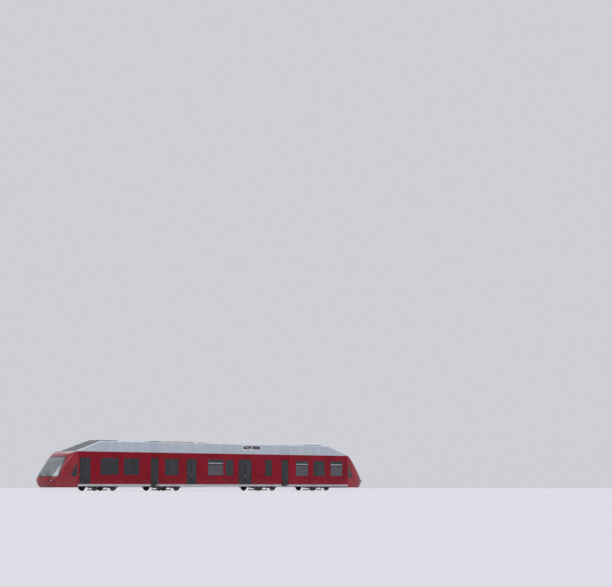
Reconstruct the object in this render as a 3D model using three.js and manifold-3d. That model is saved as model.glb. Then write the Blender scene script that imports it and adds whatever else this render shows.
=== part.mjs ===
// Three-section articulated low-floor rail vehicle, red with pale roof fairings.
// Millimetres, +X towards the rear end, +Y to the far side, +Z up, wheel flanges standing on z = 0.
import * as THREE from 'three';
import { mergeVertices } from 'three/addons/utils/BufferGeometryUtils.js';
import Module from 'manifold-3d';

const wasm = await Module();
wasm.setup();

// Driving dimensions of the whole vehicle
const HALF_LENGTH = 16250;      // centre of the vehicle to the tip of a nose
const HALF_WIDTH = 1250;        // outer face of the side walls
const WALL = 60;                // thickness of side walls, doors and nose shells
const SIDE_BOTTOM = 480;        // lower edge of the red side walls
const ROOFLINE = 2780;          // upper edge of the red side walls
const FAIRING_TOP = 3560;       // upper edge of the pale roof fairings
const SILL_BOTTOM = 330;        // lower edge of the pale sills and of the floor plate
const FLOOR = SIDE_BOTTOM;      // top of the low floor, level with the sills
const SILL_INNER = 1150;        // inner face of the sills, where the floor plate ends
const SEAT_GAP = 0.3;           // clearance between pieces that rest on one another

// Sections along the vehicle and the gaps that the bellows bridge
const MIDDLE_END = 6400;        // half length of the middle section
const END_START = 7200;         // inner end of an end section
const NOSE_JOINT = 14020;       // where the side walls end and a nose shell begins
const PIVOT_X = (MIDDLE_END + END_START) / 2;

// Windows and doors
const GLASS_BOTTOM = 1140;
const GLASS_TOP = 2340;
const DOOR_TOP = 2360;
const PANE_GAP = 3;             // joint between a pane and the edge of its opening
const PANE_RECESS = 4;          // a pane lies this far inside the outer face
const PANE_BACK = 10;           // the panes' common rail lies this deep behind the wall
const DOOR_GAP = 4;
const DOOR_MARGIN = 75;         // door frame around its glass
const DOOR_GLASS_BOTTOM = 620;

// Bogies and wheelsets
const WHEEL_SIDES = 18;         // flats around a wheel, one of them flat on the ground
const HALF_FLAT = Math.PI / WHEEL_SIDES;
const FLANGE_RADIUS = 326;      // to the middle of a flat
const TREAD_RADIUS = 298;
const AXLE_HEIGHT = FLANGE_RADIUS;
const AXLE_RADIUS = 70;
const JOURNAL_RADIUS = 60;
const COLLAR_RADIUS = 74;       // thrust collar between a wheel and its axle box
const JOURNAL_CLEARANCE = 0.6;
const WHEEL_INNER = 680;        // back of a wheel from the centre line, standard gauge
const WHEEL_OUTER = 805;
const JOURNAL_END = 970;
const HALF_WHEELBASE = 850;
const BEAM_INNER = 850;
const BEAM_OUTER = 960;
const WELL_HALF_LENGTH = 1330;  // opening in the floor over a bogie
const WELL_WALL = 40;
const WELL_WIDTH = 1150;
const AISLE_HALF_WIDTH = 520;
const AISLE_UNDERSIDE = 470;
const AISLE_FLOOR = 530;
const BOX_UNDERSIDE = 700;      // wheel boxes beside the aisle, with seats on top
const BOX_TOP = 740;

const FINISH = {
  red: { color: 0xa61923, roughness: 0.25, metalness: 0.1 },
  roof: { color: 0xd3d6dc, roughness: 0.45, metalness: 0.1 },
  sill: { color: 0x8d9195, roughness: 0.5, metalness: 0.1 },
  roofDeck: { color: 0x9a9da1, roughness: 0.6, metalness: 0.2 },
  glass: { color: 0x14161c, roughness: 0.05, metalness: 0, transparent: true, opacity: 0.6 },
  door: { color: 0x1a1b1f, roughness: 0.3, metalness: 0.1 },
  lamp: { color: 0xf2f2ea, roughness: 0.1, metalness: 0 },
  cab: { color: 0x24262a, roughness: 0.7, metalness: 0 },
  seat: { color: 0x5a2026, roughness: 0.9, metalness: 0 },
  bellows: { color: 0x26282b, roughness: 0.9, metalness: 0 },
  grille: { color: 0x3a3640, roughness: 0.6, metalness: 0.4 },
  frame: { color: 0x4a4d50, roughness: 0.6, metalness: 0.7 },
  wheel: { color: 0x6d6a66, roughness: 0.5, metalness: 0.8 },
  arm: { color: 0x7c2a2a, roughness: 0.5, metalness: 0.5 },
};

// Solids

function solidOf(geometry) {
  const bare = geometry.clone();
  bare.deleteAttribute('normal');
  bare.deleteAttribute('uv');
  const merged = mergeVertices(bare, 1e-3);
  return new wasm.Manifold(new wasm.Mesh({
    numProp: 3,
    vertProperties: new Float32Array(merged.attributes.position.array),
    triVerts: new Uint32Array(merged.index.array),
  }));
}

function box(x0, x1, y0, y1, z0, z1) {
  const geometry = new THREE.BoxGeometry(x1 - x0, y1 - y0, z1 - z0);
  geometry.translate((x0 + x1) / 2, (y0 + y1) / 2, (z0 + z1) / 2);
  return solidOf(geometry);
}

function outline(points, holes = []) {
  const shape = new THREE.Shape(points.map(([a, b]) => new THREE.Vector2(a, b)));
  for (const hole of holes) {
    shape.holes.push(new THREE.Path(hole.map(([a, b]) => new THREE.Vector2(a, b))));
  }
  return shape;
}

// Outline in x and z, carried along y
function prismY(points, y0, y1, holes = []) {
  const geometry = new THREE.ExtrudeGeometry(outline(points, holes), { depth: y1 - y0, bevelEnabled: false });
  geometry.rotateX(Math.PI / 2);
  geometry.translate(0, y1, 0);
  return solidOf(geometry);
}

// Outline in y and z, carried along x
function prismX(points, x0, x1) {
  const geometry = new THREE.ExtrudeGeometry(outline(points), { depth: x1 - x0, bevelEnabled: false });
  const turn = new THREE.Matrix4().makeBasis(
    new THREE.Vector3(0, 1, 0), new THREE.Vector3(0, 0, 1), new THREE.Vector3(1, 0, 0));
  geometry.applyMatrix4(turn);
  geometry.translate(x0, 0, 0);
  return solidOf(geometry);
}

// Upright disc or pin about a vertical axis
function disc(x, y, radius, z0, z1, sides = 16) {
  const geometry = new THREE.CylinderGeometry(radius, radius, z1 - z0, sides);
  geometry.rotateX(Math.PI / 2);
  geometry.translate(x, y, (z0 + z1) / 2);
  return solidOf(geometry);
}

function join(solids) {
  return solids.reduce((whole, next) => whole.add(next));
}

function cut(solid, tools) {
  return tools.reduce((rest, tool) => rest.subtract(tool), solid);
}

const vehicle = new THREE.Group();

// Adds one named piece; turned pieces are the other end's, half a turn about the vertical axis
function piece(name, solid, finish, turned = false) {
  const { vertProperties, triVerts } = solid.getMesh();
  const geometry = new THREE.BufferGeometry();
  geometry.setAttribute('position', new THREE.BufferAttribute(vertProperties, 3));
  geometry.setIndex(new THREE.BufferAttribute(triVerts, 1));
  geometry.computeVertexNormals();
  const mesh = new THREE.Mesh(geometry, new THREE.MeshStandardMaterial(finish));
  mesh.name = name;
  if (turned) {
    mesh.rotation.z = Math.PI;
  }
  vehicle.add(mesh);
}

// Sections: name, first x and last x of the side walls
const SECTIONS = [
  { name: 'front', x0: -NOSE_JOINT, x1: -END_START },
  { name: 'middle', x0: -MIDDLE_END, x1: MIDDLE_END },
  { name: 'rear', x0: END_START, x1: NOSE_JOINT },
];

// Openings of the near side, front to rear: kind, first x, last x; the far side is turned end for end
const OPENINGS = [
  ['door', -13900, -12900],
  ['window', -11980, -10280],
  ['window', -9780, -8330],
  ['window', -5830, -4480],
  ['door', -3650, -2630],
  ['window', -1480, 120],
  ['window', 350, 1170],
  ['door', 1720, 3120],
  ['window', 4620, 5350],
  ['window', 8020, 9420],
  ['window', 10020, 11320],
  ['window', 11990, 13390],
];

// Side, sign of y, and the sign that turns the near side's x into this side's
const SIDES = [
  { name: 'near', y: -1, along: 1 },
  { name: 'far', y: 1, along: -1 },
];

function acrossWall(side, inner, outer) {
  return side.y < 0 ? [-outer, -inner] : [inner, outer];
}

function openingsOn(side, section) {
  return OPENINGS
    .map(([kind, a, b]) => ({ kind, x0: Math.min(a * side.along, b * side.along), width: b - a }))
    .filter(({ x0, width }) => x0 > section.x0 && x0 + width < section.x1)
    .map(({ kind, x0, width }) => ({ kind, x0, x1: x0 + width }));
}

// Side walls, with an opening for each window and door

function sideWall(side, section) {
  const [y0, y1] = acrossWall(side, HALF_WIDTH - WALL, HALF_WIDTH);
  const holes = openingsOn(side, section).map(({ kind, x0, x1 }) => (kind === 'door'
    ? box(x0, x1, y0 - 50, y1 + 50, SIDE_BOTTOM - 50, DOOR_TOP)
    : box(x0, x1, y0 - 50, y1 + 50, GLASS_BOTTOM, GLASS_TOP)));
  return cut(box(section.x0, section.x1, y0, y1, SIDE_BOTTOM, ROOFLINE), holes);
}

// Doors: two leaves, or one on a narrow doorway, meeting at their seal, each with a tall pane

function leafPanes({ x0, x1 }) {
  const leaves = x1 - x0 > 1010 ? 2 : 1;
  const width = (x1 - x0 - 2 * DOOR_GAP) / leaves;
  return Array.from({ length: leaves }, (_, i) => {
    const start = x0 + DOOR_GAP + i * width;
    return { x0: start + DOOR_MARGIN, x1: start + width - DOOR_MARGIN };
  });
}

const DOOR_GLASS_TOP = DOOR_TOP - DOOR_MARGIN;

function door(side, { x0, x1 }) {
  const [y0, y1] = acrossWall(side, HALF_WIDTH - WALL + 5, HALF_WIDTH - 5);
  const leaf = box(x0 + DOOR_GAP, x1 - DOOR_GAP, y0, y1, SIDE_BOTTOM + SEAT_GAP, DOOR_TOP - DOOR_GAP);
  const holes = leafPanes({ x0, x1 })
    .map((pane) => box(pane.x0, pane.x1, y0 - 50, y1 + 50, DOOR_GLASS_BOTTOM, DOOR_GLASS_TOP));
  return cut(leaf, holes);
}

// Glazing: the panes of one side of a section, hung from one rail behind the wall

const RAIL_BOTTOM = DOOR_TOP + 5;
const RAIL_TOP = RAIL_BOTTOM + 40;
const TAB_INSET = 60;           // the tab above a pane starts this far from its edges

function glazing(side, section) {
  const inner = HALF_WIDTH - WALL - PANE_BACK;
  const [y0, y1] = acrossWall(side, inner, HALF_WIDTH - PANE_RECESS);
  const [r0, r1] = acrossWall(side, inner, HALF_WIDTH - WALL - SEAT_GAP);
  const openings = openingsOn(side, section);
  const panes = openings.flatMap((opening) => (opening.kind === 'door'
    ? leafPanes(opening).map((pane) => ({ ...pane, z0: DOOR_GLASS_BOTTOM, z1: DOOR_GLASS_TOP }))
    : [{ x0: opening.x0, x1: opening.x1, z0: GLASS_BOTTOM, z1: GLASS_TOP }]));
  const plugs = panes.map((pane) => box(pane.x0 + PANE_GAP, pane.x1 - PANE_GAP, y0, y1,
    pane.z0 + PANE_GAP, pane.z1 - PANE_GAP));
  const tabs = panes.map((pane) => box(pane.x0 + TAB_INSET, pane.x1 - TAB_INSET, r0, r1,
    pane.z1 - TAB_INSET, RAIL_TOP));
  const first = Math.min(...panes.map((pane) => pane.x0)) + TAB_INSET;
  const last = Math.max(...panes.map((pane) => pane.x1)) - TAB_INSET;
  return join([box(first, last, r0, r1, RAIL_BOTTOM, RAIL_TOP), ...tabs, ...plugs]);
}

// Underframe: floor plate, pale sills, and a well with wheel boxes over each bogie

const BOGIES = [-11200, -5050, 5050, 11200];

function bogieWell(x) {
  const inside = WELL_HALF_LENGTH - WELL_WALL;
  const boxInner = AISLE_HALF_WIDTH + WELL_WALL;
  return cut(box(x - WELL_HALF_LENGTH, x + WELL_HALF_LENGTH, -HALF_WIDTH + WALL, HALF_WIDTH - WALL,
    SILL_BOTTOM, BOX_TOP), [
    box(x - inside, x + inside, boxInner, WELL_WIDTH, 0, BOX_UNDERSIDE),
    box(x - inside, x + inside, -WELL_WIDTH, -boxInner, 0, BOX_UNDERSIDE),
    box(x - inside, x + inside, -WELL_WIDTH, WELL_WIDTH, 0, AISLE_UNDERSIDE),
    box(x - 2 * WELL_HALF_LENGTH, x + 2 * WELL_HALF_LENGTH, -AISLE_HALF_WIDTH, AISLE_HALF_WIDTH,
      AISLE_FLOOR, 2 * BOX_TOP),
  ]);
}

function floorPlate(x0, x1) {
  const sills = SIDES.map((side) => {
    const [y0, y1] = acrossWall(side, SILL_INNER, HALF_WIDTH);
    return box(x0, x1, y0, y1, SILL_BOTTOM, SIDE_BOTTOM);
  });
  const wells = BOGIES.filter((x) => x > x0 && x < x1);
  const inside = WELL_HALF_LENGTH - WELL_WALL;
  const plate = cut(box(x0, x1, -SILL_INNER, SILL_INNER, SILL_BOTTOM, FLOOR),
    wells.map((x) => box(x - inside, x + inside, -WELL_WIDTH, WELL_WIDTH, 0, 2 * FLOOR)));
  return join([plate, ...sills, ...wells.map(bogieWell)]);
}

// Articulation joint under the gangway: a tongue on the end section in a fork on the middle one

const TONGUE_BOTTOM = 362;
const TONGUE_TOP = 395;
const PIN_RADIUS = 60;
const PIN_SIDES = 20;
const PIN_HOLE_RADIUS = (PIN_RADIUS + 0.6) / Math.cos(Math.PI / PIN_SIDES);
const TONGUE_RADIUS = 140;
const TURNTABLE_RADIUS = 380;

function fork(end) {
  const x = end * PIVOT_X;
  const [x0, x1] = end < 0 ? [x, -MIDDLE_END] : [MIDDLE_END, x];
  return [
    disc(x, 0, TONGUE_RADIUS, SILL_BOTTOM, TONGUE_BOTTOM - 0.5),
    box(x0, x1, -TONGUE_RADIUS, TONGUE_RADIUS, SILL_BOTTOM, TONGUE_BOTTOM - 0.5),
    disc(x, 0, TURNTABLE_RADIUS, TONGUE_TOP + 2, FLOOR, 24),
    box(x0, x1, -TURNTABLE_RADIUS, TURNTABLE_RADIUS, TONGUE_TOP + 2, FLOOR),
    disc(x, 0, PIN_RADIUS, SILL_BOTTOM, FLOOR, PIN_SIDES),
  ];
}

function tongue() {
  return cut(join([
    disc(-PIVOT_X, 0, TONGUE_RADIUS, TONGUE_BOTTOM, TONGUE_TOP),
    box(-END_START - 10, -PIVOT_X, -TONGUE_RADIUS, TONGUE_RADIUS, TONGUE_BOTTOM, TONGUE_TOP),
  ]), [disc(-PIVOT_X, 0, PIN_HOLE_RADIUS, 0, FLOOR, PIN_SIDES)]);
}

const CAB_FLOOR_END = 15500;
const CAB_FLOOR_HALF_WIDTH = 1000;

function endUnderframe() {
  return join([
    floorPlate(-NOSE_JOINT, -END_START),
    box(-CAB_FLOOR_END, -NOSE_JOINT, -CAB_FLOOR_HALF_WIDTH, CAB_FLOOR_HALF_WIDTH, SILL_BOTTOM, FLOOR),
    tongue(),
  ]);
}

piece('underframe_front', endUnderframe(), FINISH.sill);
piece('underframe_middle', join([floorPlate(-MIDDLE_END, MIDDLE_END), ...fork(-1), ...fork(1)]), FINISH.sill);
piece('underframe_rear', endUnderframe(), FINISH.sill, true);

let doorCount = 0;
for (const section of SECTIONS) {
  for (const side of SIDES) {
    piece(`side_wall_${section.name}_${side.name}`, sideWall(side, section), FINISH.red);
    piece(`glazing_${section.name}_${side.name}`, glazing(side, section), FINISH.glass);
    for (const opening of openingsOn(side, section).filter(({ kind }) => kind === 'door')) {
      doorCount += 1;
      piece(`door_${doorCount}_${side.name}`, door(side, opening), FINISH.door);
    }
  }
}

// Roof panels between the walls, with the boxes of the ventilation and electrical gear on them

const ROOF_THICKNESS = 80;
const BOX_HEIGHT = 3630;

// Boxes on each roof: section, first x, last x, half width, top
const ROOF_BOXES = [
  ['front', -11450, -9950, 760, BOX_HEIGHT],
  ['front', -9550, -8000, 620, 3480],
  ['middle', -6250, -5350, 620, BOX_HEIGHT],
  ['middle', -4950, -2500, 760, BOX_HEIGHT],
  ['middle', -1250, -780, 300, BOX_HEIGHT],
  ['middle', 4750, 6100, 700, 3480],
  ['rear', 8000, 9550, 620, 3480],
  ['rear', 9950, 11450, 760, BOX_HEIGHT],
];

function roofPanel(section) {
  const half = HALF_WIDTH - WALL;
  const boxes = ROOF_BOXES.filter(([name]) => name === section.name)
    .map(([, x0, x1, w, top]) => box(x0, x1, -w, w, ROOFLINE - 10, top));
  return join([box(section.x0, section.x1, -half, half, ROOFLINE - ROOF_THICKNESS, ROOFLINE), ...boxes]);
}

// Pale fairings along both edges of the roof, falling to the nose at an outer end

const FAIRING_FOOT = HALF_WIDTH;
const FAIRING_LEAN = 1170;      // half width where the top curve begins
const FAIRING_SHOULDER = 3440;
const FAIRING_LIP = 1040;       // half width at the top edge
const SLOPE_START = 11600;      // the fairing is full height inside this x
const SLOPE_END_HEIGHT = 2790;

function fairingSection(inset) {
  const side = [
    [FAIRING_FOOT - inset, ROOFLINE - (inset > 0 ? 50 : 0)],
    [FAIRING_LEAN - inset, FAIRING_SHOULDER - inset * 0.3],
    [FAIRING_LEAN - inset - 40, FAIRING_SHOULDER + 70 - inset * 0.7],
    [FAIRING_LIP - inset * 0.4, FAIRING_TOP - inset],
  ];
  return [...side, ...side.slice().reverse().map(([y, z]) => [-y, z])];
}

function slopeProfile(outerX, innerX, drop) {
  return [
    [outerX, ROOFLINE - (drop > 0 ? 60 : 0)],
    [innerX, ROOFLINE - (drop > 0 ? 60 : 0)],
    [innerX, FAIRING_TOP - drop],
    [-SLOPE_START, FAIRING_TOP - drop],
    [outerX, SLOPE_END_HEIGHT - drop],
  ];
}

const BULKHEAD = 60;

function endFairing() {
  const body = prismX(fairingSection(0), -NOSE_JOINT, -END_START)
    .intersect(prismY(slopeProfile(-NOSE_JOINT, -END_START, 0), -HALF_WIDTH, HALF_WIDTH));
  const hollow = prismX(fairingSection(WALL), -NOSE_JOINT - 10, -END_START - BULKHEAD)
    .intersect(prismY(slopeProfile(-NOSE_JOINT, -END_START - BULKHEAD, WALL), -HALF_WIDTH, HALF_WIDTH));
  const mouth = box(-SLOPE_START, -END_START - BULKHEAD, -FAIRING_LIP + 24, FAIRING_LIP - 24, 3300, 4000);
  return cut(body, [hollow, mouth]);
}

// The middle fairing has a louvred bay on each side for the cooling unit
const BAY = { x0: 2250, x1: 4150, z0: 3130, z1: 3420, post: 60 };

function middleFairing() {
  const inner = MIDDLE_END - BULKHEAD;
  const bays = [[BAY.x0, (BAY.x0 + BAY.x1 - BAY.post) / 2], [(BAY.x0 + BAY.x1 + BAY.post) / 2, BAY.x1]]
    .map(([x0, x1]) => box(x0, x1, -HALF_WIDTH, HALF_WIDTH, BAY.z0, BAY.z1));
  return cut(prismX(fairingSection(0), -MIDDLE_END, MIDDLE_END), [
    prismX(fairingSection(WALL), -inner, inner),
    box(-inner, inner, -FAIRING_LIP + 24, FAIRING_LIP - 24, 3300, 4000),
    ...bays,
  ]);
}

for (const section of SECTIONS) {
  piece(`roof_panel_${section.name}`, roofPanel(section), FINISH.roofDeck);
}
piece('roof_fairing_front', endFairing(), FINISH.roof);
piece('roof_fairing_middle', middleFairing(), FINISH.roof);
piece('roof_fairing_rear', endFairing(), FINISH.roof, true);

// Cooling unit: a box on the roof with slats on both sides, behind the louvred bays

function coolingUnit() {
  const half = 980;
  const slatCount = 6;
  const pitch = (BAY.z1 - BAY.z0) / slatCount;
  const body = box(BAY.x0 + 20, BAY.x1 - 20, -half, half, ROOFLINE + SEAT_GAP, FAIRING_TOP - 30);
  const gaps = Array.from({ length: slatCount }, (_, i) => BAY.z0 + (i + 0.35) * pitch)
    .flatMap((z) => SIDES.map((side) => {
      const [y0, y1] = acrossWall(side, half - 70, half + 10);
      return box(BAY.x0 + 60, BAY.x1 - 60, y0, y1, z, z + pitch * 0.5);
    }));
  return cut(body, gaps);
}

piece('cooling_unit', coolingUnit(), FINISH.grille);

// Nose: a loft through levels of superellipse plan curves, blunt in plan and raked in side view

// Levels: height, reach of the nose ahead of its joint
const NOSE_LEVELS = [
  [250, 1930],
  [450, 2160],
  [760, 2230],
  [960, 2180],
  [1500, 1780],
  [2000, 1330],
  [2400, 910],
  [2620, 590],
  [2780, 150],
];
const NOSE_POWER = 3.4;
const NOSE_STEPS = 14;

// Plan curve: |x / reach| ^ p + |y / half width| ^ p = 1 ahead of the joint
function noseRing(z, reach, inset, back) {
  const a = reach - inset;
  const b = HALF_WIDTH - inset;
  const points = [[-NOSE_JOINT + back, -b, z]];
  for (let i = 0; i <= NOSE_STEPS; i += 1) {
    const angle = Math.PI * (i / NOSE_STEPS - 0.5);
    const forward = Math.cos(angle) ** (2 / NOSE_POWER);
    const across = Math.sign(Math.sin(angle)) * Math.abs(Math.sin(angle)) ** (2 / NOSE_POWER);
    points.push([-NOSE_JOINT - a * (i % NOSE_STEPS ? forward : 0), b * across, z]);
  }
  points.push([-NOSE_JOINT + back, b, z]);
  return back > 0 ? points : points.slice(1, -1);
}

function loft(rings) {
  const count = rings[0].length;
  const positions = rings.flat(2);
  const faces = [];
  for (let level = 0; level + 1 < rings.length; level += 1) {
    for (let i = 0; i < count; i += 1) {
      const a = level * count + i;
      const b = level * count + (i + 1) % count;
      faces.push(a, a + count, b, b, a + count, b + count);
    }
  }
  const top = (rings.length - 1) * count;
  for (let i = 1; i + 1 < count; i += 1) {
    faces.push(0, i, i + 1);
    faces.push(top, top + i + 1, top + i);
  }
  const geometry = new THREE.BufferGeometry();
  geometry.setAttribute('position', new THREE.BufferAttribute(new Float32Array(positions), 3));
  geometry.setIndex(faces);
  return solidOf(geometry);
}

// The nose's solid, inset from its outer surface; an inset one runs past the joint
function noseSolid(inset, low = 0, high = 0) {
  return loft(NOSE_LEVELS.map(([z, reach], i) => {
    const level = i === 0 ? z - low : i === NOSE_LEVELS.length - 1 ? z - high : z;
    return noseRing(level, Math.max(reach, inset + 60), inset, inset > 0 ? 100 : 0);
  }));
}

function noseLayer(outerInset, innerInset) {
  return noseSolid(outerInset, 100, WALL).subtract(noseSolid(innerInset, 200, WALL));
}

// Windscreen opening in front view, and quarter window in side view
const SCREEN = { z0: 980, z1: 2400, halfBottom: 1120, halfTop: 960 };
const QUARTER = [[-14700, 1020], [-14100, 1020], [-14100, 2100]];

function screenPrism(gap) {
  const { z0, z1, halfBottom, halfTop } = SCREEN;
  return prismX([
    [-halfBottom + gap, z0 + gap],
    [halfBottom - gap, z0 + gap],
    [halfTop - gap, z1 - gap],
    [-halfTop + gap, z1 - gap],
  ], -HALF_LENGTH - 100, -NOSE_JOINT - 300);
}

function quarterPrism(gap) {
  const [[x0, z0], [x1], [, z1]] = QUARTER;
  return prismY([[x0 + 2.5 * gap, z0 + gap], [x1 - gap, z0 + gap], [x1 - gap, z1 - 2.5 * gap]],
    -HALF_WIDTH - 50, HALF_WIDTH + 50);
}

// Lamps: first and last distance from the centre line, first and last height
const LAMP = { y0: 620, y1: 960, z0: 690, z1: 800 };

function lampPrisms(gap) {
  return SIDES.map((side) => {
    const [y0, y1] = acrossWall(side, LAMP.y0 + gap, LAMP.y1 - gap);
    return box(-HALF_LENGTH - 100, -NOSE_JOINT - 1000, y0, y1, LAMP.z0 + gap, LAMP.z1 - gap);
  });
}

function noseShell() {
  const shell = noseSolid(0).subtract(noseSolid(WALL, 100, WALL));
  return cut(shell, [screenPrism(0), quarterPrism(0), ...lampPrisms(0)]);
}

const BACKING = 8;              // strip behind the pillars that joins the panes

function windscreen() {
  const panes = noseLayer(PANE_RECESS, WALL + BACKING)
    .intersect(join([screenPrism(PANE_GAP), quarterPrism(PANE_GAP)]));
  const strip = noseLayer(WALL + SEAT_GAP, WALL + BACKING)
    .intersect(box(-HALF_LENGTH, -NOSE_JOINT - 120, -HALF_WIDTH, HALF_WIDTH, SCREEN.z0 + 60, SCREEN.z0 + 140));
  return panes.add(strip);
}

function headlamps() {
  const lamps = noseLayer(PANE_RECESS, WALL + 40).intersect(join(lampPrisms(PANE_GAP)));
  const bar = noseLayer(WALL + SEAT_GAP, WALL + 40)
    .intersect(box(-HALF_LENGTH, -NOSE_JOINT - 1200, -LAMP.y1, LAMP.y1, LAMP.z0 + 20, LAMP.z1 - 20));
  return lamps.add(bar);
}

// Cab: floor mat, desk under the windscreen, seat, and the partition to the saloon

function cabFitting() {
  const floorTop = FLOOR + 20;
  const partitionX = -NOSE_JOINT + 40;
  const desk = prismY([[-15560, floorTop - 5], [-15100, floorTop - 5], [-15000, 1120], [-15400, 1120],
    [-15700, 900]], -820, 820);
  const seat = join([
    box(-14720, -14500, -120, 120, floorTop - 5, 860),
    box(-14850, -14350, -250, 250, 850, 960),
    box(-14400, -14290, -250, 250, 900, 1620),
    box(-14390, -14300, -140, 140, 1600, 1850),
  ]);
  const wall = cut(box(partitionX, partitionX + 50, -SILL_INNER + 2, SILL_INNER - 2,
    FLOOR + SEAT_GAP, ROOFLINE - ROOF_THICKNESS - SEAT_GAP), [
    box(partitionX - 10, partitionX + 60, -380, 380, 1200, 2150),
  ]);
  const mat = box(-15400, partitionX + 10, -900, 900, FLOOR + SEAT_GAP, floorTop);
  return join([mat, desk, seat, wall]);
}

for (const [name, turned] of [['front', false], ['rear', true]]) {
  piece(`nose_${name}`, noseShell(), FINISH.red, turned);
  piece(`windscreen_${name}`, windscreen(), FINISH.glass, turned);
  piece(`headlamps_${name}`, headlamps(), FINISH.lamp, turned);
  piece(`cab_fitting_${name}`, cabFitting(), FINISH.cab, turned);
}

// Gangway bellows: two folded hoops for each articulation, one on either section, with a hood that
// carries on the line of the roof fairings, wedge-shaped in plan to close on the inside of a curve

const BELLOWS_HALF_WIDTH = 1180;
const BELLOWS_BOTTOM = 500;
const BELLOWS_TOP = 2740;
const BELLOWS_DEPTH = 90;
const BELLOWS_FOLDS = 3;
const FOLD_DEPTH = 45;
const HOOD_INSET = 70;          // the hood over the gangway lies this far inside the roof fairings' faces
const HOOD_BORE = { halfWidth: 990, top: 3380 };
const WEDGE_ANGLE = 11.7 * Math.PI / 180;   // a little over half of the largest turn at the pivot

function bellowsHoop() {
  const length = PIVOT_X - MIDDLE_END - 10;
  const pitch = length / BELLOWS_FOLDS;
  const folds = Array.from({ length: BELLOWS_FOLDS }, (_, i) => {
    const x = -END_START + SEAT_GAP + i * pitch;
    return box(x, x + pitch * 0.65, -BELLOWS_HALF_WIDTH, BELLOWS_HALF_WIDTH, BELLOWS_BOTTOM, BELLOWS_TOP)
      .add(prismX(fairingSection(HOOD_INSET), x, x + pitch * 0.65));
  });
  const [skinStart, skinEnd] = [-END_START + SEAT_GAP, -END_START + SEAT_GAP + length - pitch * 0.35];
  const skin = box(skinStart, skinEnd, -BELLOWS_HALF_WIDTH + FOLD_DEPTH, BELLOWS_HALF_WIDTH - FOLD_DEPTH,
    BELLOWS_BOTTOM + 5, BELLOWS_TOP - 5)
    .add(prismX(fairingSection(HOOD_INSET + FOLD_DEPTH), skinStart, skinEnd));
  const hoodBore = box(-END_START - 10, -PIVOT_X + 10, -HOOD_BORE.halfWidth, HOOD_BORE.halfWidth,
    BELLOWS_TOP, HOOD_BORE.top);
  const bore = box(-END_START - 10, -PIVOT_X + 10, -BELLOWS_HALF_WIDTH + BELLOWS_DEPTH,
    BELLOWS_HALF_WIDTH - BELLOWS_DEPTH, BELLOWS_BOTTOM + 10, BELLOWS_TOP - BELLOWS_DEPTH);
  const reach = HALF_WIDTH * Math.tan(WEDGE_ANGLE);
  const wedges = SIDES.map((side) => {
    const wedge = new THREE.ExtrudeGeometry(outline([[-PIVOT_X, 0], [-PIVOT_X - reach, side.y * HALF_WIDTH],
      [-PIVOT_X + 100, side.y * HALF_WIDTH], [-PIVOT_X + 100, 0]]), { depth: 4000, bevelEnabled: false });
    return solidOf(wedge);
  });
  return cut(join([...folds, skin]), [bore, hoodBore, ...wedges,
    box(-PIVOT_X - 10, -PIVOT_X + 10, -HALF_WIDTH, HALF_WIDTH, 0, 4000)]);
}

// The front articulation's other hoop is this one turned about the pivot
function turnAbout(solid, x) {
  const { vertProperties, triVerts } = solid.getMesh();
  const turned = vertProperties.map((value, i) => [2 * x - value, -value, value][i % 3]);
  return new wasm.Manifold(new wasm.Mesh({ numProp: 3, vertProperties: turned, triVerts }));
}

const hoop = bellowsHoop();
const innerHoop = turnAbout(hoop, -PIVOT_X);
piece('bellows_front_outer', hoop, FINISH.bellows);
piece('bellows_front_inner', innerHoop, FINISH.bellows);
piece('bellows_rear_inner', innerHoop, FINISH.bellows, true);
piece('bellows_rear_outer', hoop, FINISH.bellows, true);

// Seats over each bogie: back to back on the wheel boxes, tied across the aisle

function seatBlock(x) {
  const rows = [
    // Offset of the cushion's front edge, and of its back rest
    { front: -1290, back: -890 },
    { front: -400, back: -800 },
    { front: 400, back: 800 },
    { front: 1290, back: 890 },
  ];
  const width = [560, 1140];
  const rowSolids = rows.flatMap(({ front, back }) => SIDES.flatMap((side) => {
    const [y0, y1] = acrossWall(side, ...width);
    const [c0, c1] = [Math.min(front, back), Math.max(front, back)];
    const restFace = back + Math.sign(front - back) * 10;
    const restBack = back - Math.sign(front - back) * 50;
    return [
      box(x + c0, x + c1, y0, y1, BOX_TOP + SEAT_GAP, BOX_TOP + 180),
      box(x + Math.min(restFace, restBack), x + Math.max(restFace, restBack), y0, y1, BOX_TOP + 100, 1480),
    ];
  }));
  const plinths = SIDES.map((side) => {
    const [y0, y1] = acrossWall(side, AISLE_HALF_WIDTH + 60, 1100);
    return box(x - 1200, x + 1200, y0, y1, BOX_TOP + SEAT_GAP, BOX_TOP + 40);
  });
  const edge = SIDES.map((side) => {
    const [y0, y1] = acrossWall(side, AISLE_HALF_WIDTH - 20, AISLE_HALF_WIDTH - SEAT_GAP);
    return box(x - 40, x + 40, y0, y1, AISLE_FLOOR + SEAT_GAP, BOX_TOP + 30);
  });
  const lips = SIDES.map((side) => {
    const [y0, y1] = acrossWall(side, AISLE_HALF_WIDTH - 20, AISLE_HALF_WIDTH + 100);
    return box(x - 40, x + 40, y0, y1, BOX_TOP + SEAT_GAP, BOX_TOP + 30);
  });
  const tie = box(x - 40, x + 40, -AISLE_HALF_WIDTH + SEAT_GAP, AISLE_HALF_WIDTH - SEAT_GAP,
    AISLE_FLOOR + SEAT_GAP, AISLE_FLOOR + 12);
  return join([tie, ...edge, ...lips, ...plinths, ...rowSolids]);
}

BOGIES.forEach((x, i) => piece(`seats_${i + 1}`, seatBlock(x), FINISH.seat));

// Wheelsets: axle, two flanged wheels and the journals outside them, one turned piece

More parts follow.
